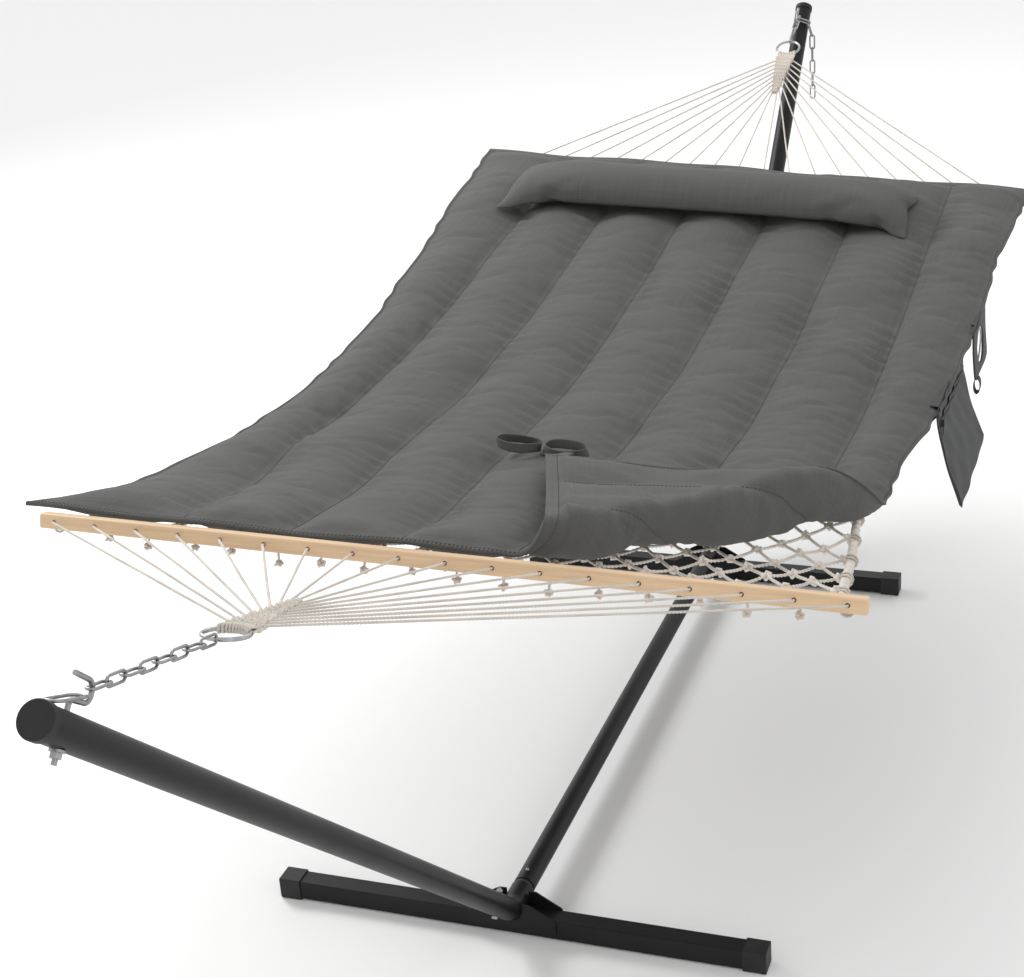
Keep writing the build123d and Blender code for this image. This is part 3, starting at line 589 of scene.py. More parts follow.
def twisted_cord_recipe() -> Recipe:
    """The recipe for laid cord: a lobed section that turns as it follows each guide line."""
    recipe = Recipe("twisted_cord")
    recipe.size("Radius", 0.002)
    recipe.size("Lay", 0.02)
    recipe.size("Step", 0.004)
    recipe.size("Strands", 3.0)
    recipe.size("Depth", 0.16)
    recipe.size("Sides", 12, "NodeSocketInt")
    curve = recipe.node("GeometryNodeMeshToCurve", Mesh=recipe.source.outputs["Geometry"])
    steps = recipe.node(
        "GeometryNodeResampleCurve", mode="LENGTH", Curve=curve.outputs["Curve"], Length=recipe.given("Step")
    )
    along = recipe.node("GeometryNodeSplineParameter")
    turn = recipe.math("DIVIDE", along.outputs["Length"], recipe.given("Lay"))
    turn = recipe.math("MULTIPLY", turn, math.tau)
    tilted = recipe.node("GeometryNodeSetCurveTilt", Curve=steps.outputs["Curve"], Tilt=turn)
    circle = recipe.node(
        "GeometryNodeCurvePrimitiveCircle", Resolution=recipe.given("Sides"), Radius=recipe.given("Radius")
    )
    index = recipe.node("GeometryNodeInputIndex")
    around = recipe.math("DIVIDE", index.outputs["Index"], recipe.given("Sides"))
    around = recipe.math("MULTIPLY", recipe.math("MULTIPLY", around, math.tau), recipe.given("Strands"))
    lobe = recipe.math("MULTIPLY", recipe.math("SUBTRACT", recipe.math("COSINE", around), 1.0), recipe.given("Depth"))
    place = recipe.node("GeometryNodeInputPosition")
    shift = recipe.node("ShaderNodeVectorMath", operation="SCALE", Vector=place.outputs["Position"], Scale=lobe)
    section = recipe.node("GeometryNodeSetPosition", Geometry=circle.outputs["Curve"], Offset=shift.outputs["Vector"])
    rope = recipe.node(
        "GeometryNodeCurveToMesh",
        Curve=tilted.outputs["Curve"],
        Profile_Curve=section.outputs["Geometry"],
        Fill_Caps=True,
    )
    recipe.finish(rope.outputs["Mesh"])
    return recipe


def scatter_recipe(name: str, shape: bpy.types.Object) -> Recipe:
    """The recipe that sets one small shape on every point of a guide, turned at random by a fixed seed.

    Args:
        name: the recipe's name.
        shape: the object to repeat.

    Returns:
        The recipe.
    """
    recipe = Recipe(name)
    recipe.size("Size", 1.0)
    recipe.size("Turn", 1.0)
    recipe.size("Seed", 7, "NodeSocketInt")
    points = recipe.node("GeometryNodeMeshToPoints", Mesh=recipe.source.outputs["Geometry"])
    given = recipe.node("GeometryNodeObjectInfo", Object=shape)
    angles = recipe.node("FunctionNodeRandomValue", data_type="FLOAT", Min=-1.0, Max=1.0, Seed=recipe.given("Seed"))
    angle = recipe.math("MULTIPLY", angles.outputs[1], recipe.given("Turn"))
    turned = recipe.node(
        "ShaderNodeCombineXYZ",
        X=recipe.math("MULTIPLY", angle, 0.35),
        Y=recipe.math("MULTIPLY", angle, -0.3),
        Z=angle,
    )
    rotate = recipe.node("FunctionNodeEulerToRotation", Euler=turned.outputs["Vector"])
    scale = recipe.node("ShaderNodeCombineXYZ", **{axis: recipe.given("Size") for axis in "XYZ"})
    placed = recipe.node(
        "GeometryNodeInstanceOnPoints",
        Points=points.outputs["Points"],
        Instance=given.outputs["Geometry"],
        Rotation=rotate.outputs["Rotation"],
        Scale=scale.outputs["Vector"],
    )
    recipe.finish(placed.outputs["Instances"])
    return recipe


def stitch_recipe(shape: bpy.types.Object) -> Recipe:
    """The recipe that sews a line: one stitch at every step of each guide line, laid along it.

    Args:
        shape: one stitch, its length along X.

    Returns:
        The recipe.
    """
    recipe = Recipe("stitch_row")
    recipe.size("Pitch", 0.007)
    curve = recipe.node("GeometryNodeMeshToCurve", Mesh=recipe.source.outputs["Geometry"])
    points = recipe.node(
        "GeometryNodeCurveToPoints", mode="LENGTH", Curve=curve.outputs["Curve"], Length=recipe.given("Pitch")
    )
    given = recipe.node("GeometryNodeObjectInfo", Object=shape)
    tangent = recipe.node("FunctionNodeAlignRotationToVector", axis="X", Vector=points.outputs["Tangent"])
    placed = recipe.node(
        "GeometryNodeInstanceOnPoints",
        Points=points.outputs["Points"],
        Instance=given.outputs["Geometry"],
        Rotation=tangent.outputs["Rotation"],
    )
    recipe.finish(placed.outputs["Instances"])
    return recipe


def bead_shape(name: str, size: Triple, rings: int = 3, sides: int = 6) -> bpy.types.Object:
    """A small rounded bead, made of a few faces and hidden from the scene, for a recipe to repeat.

    Args:
        name: the object's name.
        size: its half sizes.
        rings: rings of faces from pole to pole, less one.
        sides: faces round it.

    Returns:
        The unlinked object.
    """
    points = [(-size[0], 0.0, 0.0)]
    for ring in range(1, rings + 1):
        angle = math.pi * ring / (rings + 1)
        wide = math.sin(angle)
        for side in range(sides):
            turn = math.tau * side / sides
            point = (-size[0] * math.cos(angle), size[1] * wide * math.cos(turn), size[2] * wide * math.sin(turn))
            points.append(point)
    points.append((size[0], 0.0, 0.0))
    faces = [(0, 1 + (s + 1) % sides, 1 + s) for s in range(sides)]
    for ring in range(rings - 1):
        low = 1 + ring * sides
        high = low + sides
        faces += [(low + s, low + (s + 1) % sides, high + (s + 1) % sides, high + s) for s in range(sides)]
    last = len(points) - 1
    low = 1 + (rings - 1) * sides
    faces += [(low + s, low + (s + 1) % sides, last) for s in range(sides)]
    mesh = bpy.data.meshes.new(name)
    mesh.from_pydata(points, [], faces)
    face_outward(mesh)
    return bpy.data.objects.new(name, mesh)


def face_outward(mesh: bpy.types.Mesh) -> None:
    """Turns a closed mesh's faces to the outside."""
    work = bmesh.new()
    work.from_mesh(mesh)
    bmesh.ops.recalc_face_normals(work, faces=work.faces)
    work.to_mesh(mesh)
    work.free()


def knot_shape(name: str, radius: float, cord: float) -> bpy.types.Object:
    """A small wrapped knot of cord for a recipe to repeat.

    Args:
        name: the object's name.
        radius: how far the wraps stand from the middle.
        cord: the cord's radius.

    Returns:
        The unlinked object.
    """
    count, sides = 13, 5
    turns = np.linspace(0, 1, count, endpoint=False) * math.tau
    lobe = radius * (0.62 + 0.38 * np.cos(3 * turns))
    middle = np.stack([lobe * np.cos(2 * turns), lobe * np.sin(2 * turns), radius * 0.42 * np.sin(3 * turns)], 1)
    ahead = np.roll(middle, -1, 0) - np.roll(middle, 1, 0)
    ahead /= np.linalg.norm(ahead, axis=1)[:, None]
    side = np.cross(ahead, (0.0, 0.0, 1.0))
    side /= np.linalg.norm(side, axis=1)[:, None]
    up = np.cross(side, ahead)
    angles = np.arange(sides) / sides * math.tau
    along_side = np.cos(angles)[None, :, None] * side[:, None]
    along_up = np.sin(angles)[None, :, None] * up[:, None]
    ring = middle[:, None] + cord * (along_side + along_up)
    faces = []
    for i in range(count):
        low, high = i * sides, ((i + 1) % count) * sides
        faces += [(low + s, low + (s + 1) % sides, high + (s + 1) % sides, high + s) for s in range(sides)]
    mesh = bpy.data.meshes.new(name)
    mesh.from_pydata([tuple(p) for p in ring.reshape(-1, 3)], [], faces)
    face_outward(mesh)
    return bpy.data.objects.new(name, mesh)


def smooth_line(points: list[Triple], count: int) -> np.ndarray:
    """A smooth line through a few points.

    Args:
        points: the points it passes through.
        count: how many points it returns.

    Returns:
        An array of points.
    """
    knots = np.array([points[0], *points, points[-1]], float)
    line = []
    for share in np.linspace(0, len(points) - 1 - 1e-9, count):
        i, t = int(share), share - int(share)
        a, b, c, d = knots[i : i + 4]
        line.append(0.5 * (2 * b + (c - a) * t + (2 * a - 5 * b + 4 * c - d) * t * t + (3 * b - a - 3 * c + d) * t**3))
    return np.array(line)


def grid_faces(rows: int, columns: int, start: int = 0, flip: bool = False) -> list[tuple[int, ...]]:
    """The quads of a grid of points, row by row."""
    faces = []
    for row in range(rows - 1):
        for column in range(columns - 1):
            a = start + row * columns + column
            quad = (a, a + 1, a + columns + 1, a + columns)
            faces.append(quad[::-1] if flip else quad)
    return faces


# ---------------------------------------------------------------------------------------- the bed's shape
def eased(x: np.ndarray, xs: np.ndarray, ys: np.ndarray) -> np.ndarray:
    """A smooth value between stations.

    Args:
        x: where the value is wanted.
        xs: the stations.
        ys: the values at the stations.

    Returns:
        The values at x.
    """
    slopes = np.gradient(ys, xs)
    i = np.clip(np.searchsorted(xs, x) - 1, 0, len(xs) - 2)
    h = xs[i + 1] - xs[i]
    t = np.clip((x - xs[i]) / h, 0.0, 1.0)
    first = (2 * t**3 - 3 * t**2 + 1) * ys[i] + (t**3 - 2 * t**2 + t) * h * slopes[i]
    return first + (-2 * t**3 + 3 * t**2) * ys[i + 1] + (t**3 - t**2) * h * slopes[i + 1]


@dataclass(frozen=True)
class Sag:
    """A sagging surface between the bars: stations of length, height, half width and sideways tilt in degrees."""

    stations: tuple[tuple[float, float, float, float], ...]

    def value(self, y: np.ndarray, column: int) -> np.ndarray:
        """One column of the stations at any length."""
        table = np.array(self.stations)
        return eased(np.clip(y, table[0, 0], table[-1, 0]), table[:, 0], table[:, column])

    def half(self, y: np.ndarray) -> np.ndarray:
        """Half the width."""
        return self.value(y, 2)

    def height(self, x: np.ndarray, y: np.ndarray) -> np.ndarray:
        """The height of the surface over a place."""
        return self.value(y, 1) - x * np.tan(np.radians(self.value(y, 3)))


PAD_BED = Sag(
    (
        (-1.022, 0.917, 0.655, 0.8),
        (-0.880, 0.873, 0.645, 0.9),
        (-0.700, 0.826, 0.630, 1.0),
        (-0.430, 0.788, 0.616, 1.2),
        (-0.100, 0.768, 0.608, 1.4),
        (0.250, 0.780, 0.620, 1.7),
        (0.600, 0.818, 0.646, 2.1),
        (0.950, 0.861, 0.672, 2.7),
        (1.228, 0.889, 0.6906, 3.4),
    )
)
NET_BED = Sag(
    (
        (-1.032, 0.895, 0.616, 0.8),
        (-0.960, 0.870, 0.606, 0.85),
        (-0.700, 0.801, 0.585, 1.0),
        (-0.430, 0.763, 0.556, 1.2),
        (-0.100, 0.743, 0.548, 1.4),
        (0.250, 0.755, 0.556, 1.7),
        (0.600, 0.793, 0.585, 2.1),
        (0.950, 0.836, 0.618, 2.7),
        (1.183, 0.852, 0.640, 3.0),
    )
)


# ---------------------------------------------------------------------------------------- rope work
class End(Enum):
    """The two ends of the hammock."""

    FRONT = "front"
    REAR = "rear"


@dataclass
class Suspension:
    """One end's rope work: the clew on its ring, the eighteen cords, the bar's knots and short tails."""

    end: End
    ring_centre: Triple
    bar_centre: Triple
    bar_tilt: float
    ring_radius: float = 0.030
    clew_length: float = 0.170
    clew_wide: float = 0.047
    clew_narrow: float = 0.010
    holes: int = 18
    hole_pitch: float = 0.0732
    bar_half: float = 0.012
    cord_radius: float = 0.00215
    warp_gap: float = 0.0042
    weft_gap: float = 0.0062
    fan: Vector = field(init=False)
    bar_x: Vector = field(init=False)
    bar_z: Vector = field(init=False)

    def __post_init__(self) -> None:
        """Works out the directions of pull and of the bar."""
        ring, bar = Vector(self.ring_centre), Vector(self.bar_centre)
        self.fan = (Vector((0.0, bar.y, bar.z)) - ring).normalized()
        tilt = math.radians(self.bar_tilt)
        self.bar_x = Vector((math.cos(tilt), 0.0, -math.sin(tilt)))
        self.bar_z = (self.fan - self.bar_x * self.fan.dot(self.bar_x)).normalized()

    def half_width(self, share: float) -> float:
        """Half the clew's width, from 0 at the ring to 1 at its narrow end."""
        return (self.clew_wide + (self.clew_narrow - self.clew_wide) * share) / 2

    def in_clew(self, x: float, along: float, rise: float) -> np.ndarray:
        """A point of the clew: across, along the pull from the ring's centre, and above its plane."""
        normal = Vector((1.0, 0.0, 0.0)).cross(self.fan)
        return np.array(Vector(self.ring_centre) + Vector((x, 0, 0)) + self.fan * along + normal * rise)

    def hole_offset(self, index: int) -> float:
        """A hole's distance from the bar's middle."""
        return (index - (self.holes - 1) / 2) * self.hole_pitch

    def mouth(self, index: int, beyond: float) -> Vector:
        """A point on a hole's axis, past the bar's middle towards the net."""
        return Vector(self.bar_centre) + self.bar_x * self.hole_offset(index) + self.bar_z * beyond

    def cord_lines(self) -> list[np.ndarray]:
        """The eighteen cords' lines, from inside the clew's edge through the bar."""
        lines = []
        for index in range(self.holes):
            offset = self.hole_offset(index)
            hand = 1.0 if offset > 0 else -1.0
            rank = (abs(offset) - self.hole_pitch / 2) / self.hole_pitch
            share = 0.94 - 0.80 * rank / (self.holes // 2 - 1)
            half, along = self.half_width(share), self.ring_radius + share * self.clew_length
            inside = self.in_clew(hand * (half - 0.004), along - 0.006, 0.0)
            outside = self.in_clew(hand * half, along, 0.0)
            near = self.mouth(index, -self.bar_half - 0.004)
            far = self.mouth(index, self.bar_half + 0.004)
            lines.append(np.array([inside, outside, np.array(near), np.array(far)]))
        return lines

    def clew_lines(self) -> list[np.ndarray]:
        """The clew's lengthwise cords, hitched round the ring, and the cords woven across them."""
        lines = []
        wrap = 0.003 + self.cord_radius
        count = 11
        for k in range(count):
            x = (k - (count - 1) / 2) * self.warp_gap
            share = min(1.0, (self.clew_wide / 2 - abs(x) + 0.001) / ((self.clew_wide - self.clew_narrow) / 2))
            last = self.ring_radius + max(share, 0.06) * self.clew_length
            wire = math.sqrt(self.ring_radius**2 - x**2)
            face = []
            for turn in np.linspace(-0.5, 0.5, 7) * math.pi:
                face.append(self.in_clew(x, wire - wrap * math.cos(turn), wrap * math.sin(turn)))
            steps = np.arange(wire + 0.012, last, 0.0062)
            front = [self.in_clew(x, along, 0.0024 + 0.0012 * (-1) ** i) for i, along in enumerate(steps)]
            back = [self.in_clew(x, along, -0.0024) for along in steps]
            lines.append(np.array(back[::-1] + face + front))
        row = self.ring_radius + 0.012
        step = 0
        while row < self.ring_radius + self.clew_length * 0.98:
            half = self.half_width((row - self.ring_radius) / self.clew_length) + 0.001
            places = np.arange(-half, half + 1e-6, self.warp_gap / 2)
            points = []
            for i, x in enumerate(places):
                over = math.cos(math.pi * (i / 2 + step))
                points.append(self.in_clew(x, row + 0.0016 * ((i + step) % 2), 0.0034 * over + 0.0022))
            lines.append(np.array(points))
            points = [self.in_clew(x, row + 0.003, -0.0052) for x in places]
            lines.append(np.array(points))
            row += self.weft_gap
            step += 1
        return lines

    def build(self, laid: Recipe, knots: Recipe, finishes: Finishes) -> list[bpy.types.Object]:
        """Builds this end's rope pieces.

        Args:
            laid: the recipe for twisted cord.
            knots: the recipe that sets knots on points.
            finishes: the finishes.

        Returns:
            The pieces.
        """
        word = self.end.value
        cords = laid.apply(
            guide_lines("cords", self.cord_lines()), f"{word}_suspension_cord_set", finishes.cotton,
            Radius=self.cord_radius * 1.12, Lay=0.016, Step=0.0052, Strands=3.0, Depth=COTTON_DEPTH, Sides=9,
        )
        clew = laid.apply(
            guide_lines("clew", self.clew_lines()), f"{word}_woven_clew", finishes.cotton,
            Radius=self.cord_radius * 1.14, Lay=COTTON_LAY, Step=0.0026, Strands=3.0, Depth=COTTON_DEPTH, Sides=8,
        )
        draw = np.random.default_rng(11 if self.end is End.FRONT else 23)
        tails, ends = [], []
        for index in range(1, self.holes - 1):
            drop = float(draw.uniform(0.012, 0.026))
            swing = float(draw.uniform(-0.006, 0.006))
            top = self.mouth(index, self.bar_half + 0.006) + self.bar_x * 0.004
            low = top + Vector((swing, 0.0, -self.bar_half - drop))
            middle = (top + low) / 2 + self.bar_z * 0.004
            tails.append(smooth_line([tuple(top), tuple(middle), tuple(low)], 7))
            ends.append(tuple(low))
        hanging = laid.apply(
            guide_lines("tails", tails), f"{word}_cord_tails", finishes.cotton,
            Radius=self.cord_radius * 1.1, Lay=COTTON_LAY, Step=0.004, Strands=3.0, Depth=COTTON_DEPTH, Sides=8,
        )
        mesh = bpy.data.meshes.new("knot_points")
        mesh.from_pydata([tuple(self.mouth(i, self.bar_half + 0.0075)) for i in range(self.holes)] + ends, [], [])
        tied = knots.apply(mesh, f"{word}_bar_knots", finishes.cotton, Size=0.86, Turn=3.0, Seed=5)
        for piece in (cords, clew, hanging, tied):
            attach(piece, "hammock")
        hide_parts(f"{word}_suspension_cords")
        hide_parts(f"{word}_clew")
        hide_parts(f"{word}_bar_tails")
        return [cords, clew, hanging, tied]


@dataclass
class Net:
    """The diamond-mesh rope bed and the doubled rope along each side."""

    columns: int = 18
    rows: int = 41
    rope_radius: float = 0.0031
    edge_radius: float = 0.0080
    edge_gap: float = 0.012
    edge_drop: float = 0.004
    front_shift: float = 0.030

    def drift(self, y: np.ndarray) -> np.ndarray:
        """How far the net stands aside near the front bar, which hangs off the middle."""
        return self.front_shift * np.exp(-(y - NET_BED.stations[0][0]) / 0.20)

    def node_place(self, row: int, column: float) -> np.ndarray:
        """A knot's place in the net."""
        first, last = NET_BED.stations[0][0] + 0.008, NET_BED.stations[-1][0] - 0.006
        y = np.array(first + (last - first) * row / (self.rows - 1))
        wave = math.sin(row * 2.1 + column * 1.3) * 0.003
        x = (column - (self.columns - 1) / 2) / ((self.columns - 1) / 2) * (NET_BED.half(y) + 0.002) + self.drift(y)
        z = NET_BED.height(x, y) + wave * 0.6 - 0.001
        return np.array([float(x), float(y) + wave, float(z)])

    def lines(self, low: int, high: int) -> tuple[list[np.ndarray], list[tuple[float, ...]]]:
        """The net's rope lines and knots between two rows."""
        legs, knots = [], []
        for row in range(low, high + 1):
            shift = 0.5 * (row % 2)
            count = self.columns - row % 2
            for column in range(count):
                here = self.node_place(row, column + shift)
                if row < high or high == self.rows - 1:
                    knots.append(tuple(here))
                if row == high:
                    continue
                for side in (-0.5, 0.5):
                    other = column + shift + side
                    if 0 <= other <= self.columns - 1:
                        there = self.node_place(row + 1, other)
                        middle = (here + there) / 2 + np.array([0.0, 0.0, -0.002])
                        legs.append(smooth_line([tuple(here), tuple(middle), tuple(there)], 4))
        return legs, knots

    def edge_line(self, hand: float) -> np.ndarray:
        """The line of one side rope."""
        ys = np.linspace(NET_BED.stations[0][0], NET_BED.stations[-1][0], 90)
        x = hand * (NET_BED.half(ys) + self.edge_gap) + self.drift(ys)
        return np.stack([x, ys, NET_BED.height(x, ys) - self.edge_drop], 1)

    def lashing(self, hand: float) -> list[np.ndarray]:
        """Short hitches that tie each edge mesh to the side rope."""
        loops = []
        for row in range(0, self.rows, 2):
            knot = self.node_place(row, 0 if hand < 0 else self.columns - 1)
            half = float(NET_BED.half(knot[1])) + self.edge_gap
            side = hand * half + float(self.drift(knot[1]))
            centre = np.array([side, knot[1], float(NET_BED.height(side, knot[1])) - self.edge_drop])
            for slip in (-0.005, 0.004):
                turn = np.linspace(0, math.tau, 13)
                loops.append(
                    np.stack(
                        [
                            centre[0] + 0.0098 * np.cos(turn),
                            centre[1] + slip + 0.002 * np.sin(turn / 2),
                            centre[2] + 0.0098 * np.sin(turn),
                        ],
                        1,
                    )
                )
            loops.append(np.array([knot, centre + np.array([-hand * 0.006, 0.0, 0.0])]))
        return loops

    def build(self, laid: Recipe, knots: Recipe, finishes: Finishes) -> list[bpy.types.Object]:
        """Builds the net in two halves, its knots and its side ropes.

        Args:
            laid: the recipe for twisted cord.
            knots: the recipe that sets knots on points.
            finishes: the finishes.

        Returns:
            The pieces.
        """
        pieces = []
        middle = 2 * (self.rows // 4)
        for word, low, high in (("foot", 0, middle), ("head", middle, self.rows - 1)):
            legs, places = self.lines(low, high)
            rope = laid.apply(
                guide_lines("net", legs), f"net_ropes_{word}_half", finishes.cotton,
                Radius=self.rope_radius * 1.08, Lay=0.022, Step=0.0078, Strands=3.0, Depth=0.15, Sides=8,
            )
            mesh = bpy.data.meshes.new("net_knot_points")
            mesh.from_pydata(places, [], [])
            tied = knots.apply(mesh, f"net_knots_{word}_half", finishes.cotton, Size=1.0, Turn=3.0, Seed=9)
            pieces += [rope, tied]
        for hand, name in ((-1.0, "left"), (1.0, "right")):
            rope = laid.apply(
                guide_lines("edge", [self.edge_line(hand)]), f"side_rope_{name}", finishes.cotton,
                Radius=self.edge_radius, Lay=0.046, Step=0.0045, Strands=2.0, Depth=0.24, Sides=16,
            )
            hitch = laid.apply(
                guide_lines("hitches", self.lashing(hand)), f"side_hitches_{name}", finishes.cotton,
                Radius=0.0026, Lay=COTTON_LAY, Step=0.0045, Strands=3.0, Depth=COTTON_DEPTH, Sides=7,
            )
            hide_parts(f"net_edge_rope_{name}")
            pieces += [rope, hitch]
        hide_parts("rope_net")
        for piece in pieces:
            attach(piece, "hammock")
        return pieces


# ---------------------------------------------------------------------------------------- sewn work
def cloth_rise(
    points: np.ndarray, faces: list[tuple[int, ...]], pinned: np.ndarray, settings: dict[str, float]
) -> np.ndarray:
    """Lets a flat piece of cloth billow by simulation and returns where its points come to rest.

    Args:
        points: the flat cloth's points.
        faces: its faces.
        pinned: which points are sewn down.
        settings: gravity (a lift), pressure, stretch, stiffness, bending and frames.

    Returns:
        The points after the last frame.
    """
    scene = bpy.context.scene
    mesh = bpy.data.meshes.new("cloth_blank")
    mesh.from_pydata([tuple(p) for p in points], [], faces)
    blank = link_mesh(mesh, "cloth_blank")
    if pinned.any():
        group = blank.vertex_groups.new(name="sewn")
        group.add([int(i) for i in np.nonzero(pinned)[0]], 1.0, "REPLACE")
    cloth = blank.modifiers.new("cloth", "CLOTH")
    rules = cloth.settings
    rules.quality = 6
    rules.mass = 0.12
    rules.tension_stiffness = rules.compression_stiffness = settings["stiffness"]
    rules.shear_stiffness = settings["stiffness"] * 0.5
    rules.bending_stiffness = settings["bending"]
    rules.tension_damping = rules.compression_damping = rules.shear_damping = 6.0
    rules.air_damping = 3.0
    rules.shrink_min = rules.shrink_max = -settings["stretch"]
    rules.use_pressure = settings["pressure"] > 0
    rules.uniform_pressure_force = settings["pressure"]
    rules.effector_weights.gravity = abs(settings["gravity"])
    if pinned.any():
        rules.vertex_group_mass = "sewn"
        rules.pin_stiffness = 1.0
    cloth.collision_settings.use_collision = False
    cloth.collision_settings.use_self_collision = False
    cloth.point_cache.frame_start, cloth.point_cache.frame_end = 1, 250
    scene.gravity = (0.0, 0.0, 9.81 if settings["gravity"] > 0 else -9.81)
    for frame in range(1, int(settings["frames"]) + 1):
        scene.frame_set(frame)
    graph = bpy.context.evaluated_depsgraph_get()
    rested = blank.evaluated_get(graph).to_mesh()
    flat = np.empty(len(points) * 3)
    rested.vertices.foreach_get("co", flat)
    blank.evaluated_get(graph).to_mesh_clear()
    bpy.data.objects.remove(blank)
    scene.gravity = (0.0, 0.0, -9.81)
    scene.frame_set(1)
    return flat.reshape(-1, 3)


def cloth_mesh(
    name: str, points: np.ndarray, faces: list[tuple[int, ...]], plan: np.ndarray, finish: bpy.types.Material
) -> bpy.types.Object:
    """A smooth-shaded cloth piece with a map of its flat cut.

    Args:
        name: the piece's name.
        points: its points.
        faces: its faces.
        plan: the flat place of every point, in metres.
        finish: its material.

    Returns:
        The piece.
    """
    mesh = bpy.data.meshes.new(name)
    mesh.from_pydata([tuple(float(v) for v in p) for p in points], [], faces)
    layer = mesh.uv_layers.new(name="cloth_map")
    corners = np.array([loop.vertex_index for loop in mesh.loops])
    layer.data.foreach_set("uv", plan[corners].astype(np.float32).reshape(-1))
    mesh.polygons.foreach_set("use_smooth", [True] * len(mesh.polygons))
    mesh.materials.append(finish)
    mesh.update()
    return link_mesh(mesh, name)


@dataclass
class QuiltedPad:
    """The quilted pad: seven channels between sewn lines, a flat hem, and its foot-end corner folded back."""

    half: float = 0.655
    hem: float = 0.018
    side_hem: float = 0.005
    seam_step: float = 0.195
    column_step: float = 0.0109
    row_step: float = 0.0112
    crown: float = 0.0235
    under: float = 0.62
    seam_half: float = 0.0016
    roll_radius: float = 0.026
    roll_growth: float = 0.022
    fold_front: tuple[float, float] = (0.150, -1.040)
    fold_side: tuple[float, float] = (0.680, -0.335)
    flap_reach: float = 1.45
    flap_slip: float = 0.047
    flap_rest: float = 0.046
    edge_swell: float = 0.029
    pucker_height: float = 0.0042
    pucker_reach: float = 0.048
    pucker_kept: float = 0.8
    crease_height: float = 0.0030
    crease_kept: float = 0.4

    def seams(self) -> list[float]:
        """The sewn lines' places across the flat pad."""
        return [(k - 2.5) * self.seam_step for k in range(6)]

    def lines_across(self) -> tuple[np.ndarray, np.ndarray]:
        """Every column's place and whether it is sewn down."""
        stops = [-self.half, -self.half + self.side_hem, *self.seams(), self.half - self.side_hem, self.half]
        columns, sewn = [], []
        for a, b in zip(stops, stops[1:]):
            count = max(2, round((b - a) / self.column_step))
            part = np.linspace(a, b, count, endpoint=False)
            columns += list(part)
            flat = (b - a) < self.side_hem * 1.5
            sewn += [True] + [flat] * (count - 1)
        return np.array(columns + [stops[-1]]), np.array(sewn + [True])

    def lines_along(self) -> tuple[np.ndarray, np.ndarray]:
        """Every row's place and whether it is sewn down."""
        low, high = PAD_BED.stations[0][0], PAD_BED.stations[-1][0]
        inner = np.linspace(low + self.hem, high - self.hem, round((high - low - 2 * self.hem) / self.row_step) + 1)
        rows = np.concatenate([[low, low + self.hem / 2], inner, [high - self.hem / 2, high]])
        sewn = np.zeros(len(rows), bool)
        sewn[:3] = sewn[-3:] = True
        return rows, sewn

    def across(self, s: np.ndarray, y: np.ndarray) -> np.ndarray:
        """Where a place across the flat pad comes to lie on the bed."""
        half = PAD_BED.half(y)
        drift = np.clip((-0.46 - y) / 0.56, 0.0, 1.0)
        shift = 0.0175 + 0.062 * drift
        knots = [-half] + [seam * (1 - 0.05 * drift) + shift for seam in self.seams()] + [half]
        marks = np.array([-self.half, *self.seams(), self.half])
        i = np.clip(np.searchsorted(marks, s) - 1, 0, len(marks) - 2)
        share = (s - marks[i]) / (marks[i + 1] - marks[i])
        table = np.stack(knots, -1)
        first = np.take_along_axis(table, i[..., None], -1)[..., 0]
        second = np.take_along_axis(table, i[..., None] + 1, -1)[..., 0]
        return first + (second - first) * share

    def middle(self, s: np.ndarray, y: np.ndarray) -> np.ndarray:
        """The pad's middle surface, with its corner folded over."""
        x = self.across(s, y)
        rim = np.clip((np.abs(s) - self.seams()[-1]) / (self.half - self.seams()[-1]), 0.0, 1.0)
        scallop = 0.0022 * np.sin(y * 43 + 2.5 * np.sin(y * 17))
        swell = self.edge_swell * (s > 0) * np.exp(-(((y - 0.24) / 0.42) ** 4))
        x = x + np.sign(s) * rim**2 * (scallop + swell)
        a, b = np.array(self.fold_front), np.array(self.fold_side)
        line = (b - a) / np.linalg.norm(b - a)
        out = np.array([line[1], -line[0]])
        d = (x - a[0]) * out[0] + (y - a[1]) * out[1]
        along = (x - a[0]) * line[0] + (y - a[1]) * line[1]
        radius = self.roll_radius + self.roll_growth * np.clip(along / 0.8, 0.0, 1.0)
        half_turn = math.pi * radius
        turn = np.clip(d, 0, half_turn) / radius
        beyond = np.clip(d - half_turn, 0, None)
        shift = np.where(d > 0, -np.clip(d, 0, None) + radius * np.sin(turn) - self.flap_reach * beyond, 0.0)
        slip = self.flap_slip * beyond / 0.29
        px = x + out[0] * shift + line[0] * slip
        py = y + out[1] * shift + line[1] * slip
        roll = radius * (1 - np.cos(turn))
        lying = self.flap_rest + (2 * radius - self.flap_rest) * np.exp(-beyond / 0.10)
        lift = np.where(d <= 0, 0.0, np.where(beyond > 0, lying, roll))
        gather = 0.0032 * np.sin(along * 70 + 3 * np.sin(along * 23)) * np.exp(-(((d - half_turn * 0.5) / 0.06) ** 2))
        gather += 0.0028 * np.sin(along * 58 + d * 60) * np.exp(-((beyond - 0.05) / 0.05) ** 2) * (beyond > 0)
        soft = 0.0022 * np.sin(px * 21 + 2) * np.sin(py * 17) + 0.0020 * np.sin(px * 9 - py * 13)
        z = PAD_BED.height(px, py) + lift + gather + soft
        return np.stack([px, py, z], -1)

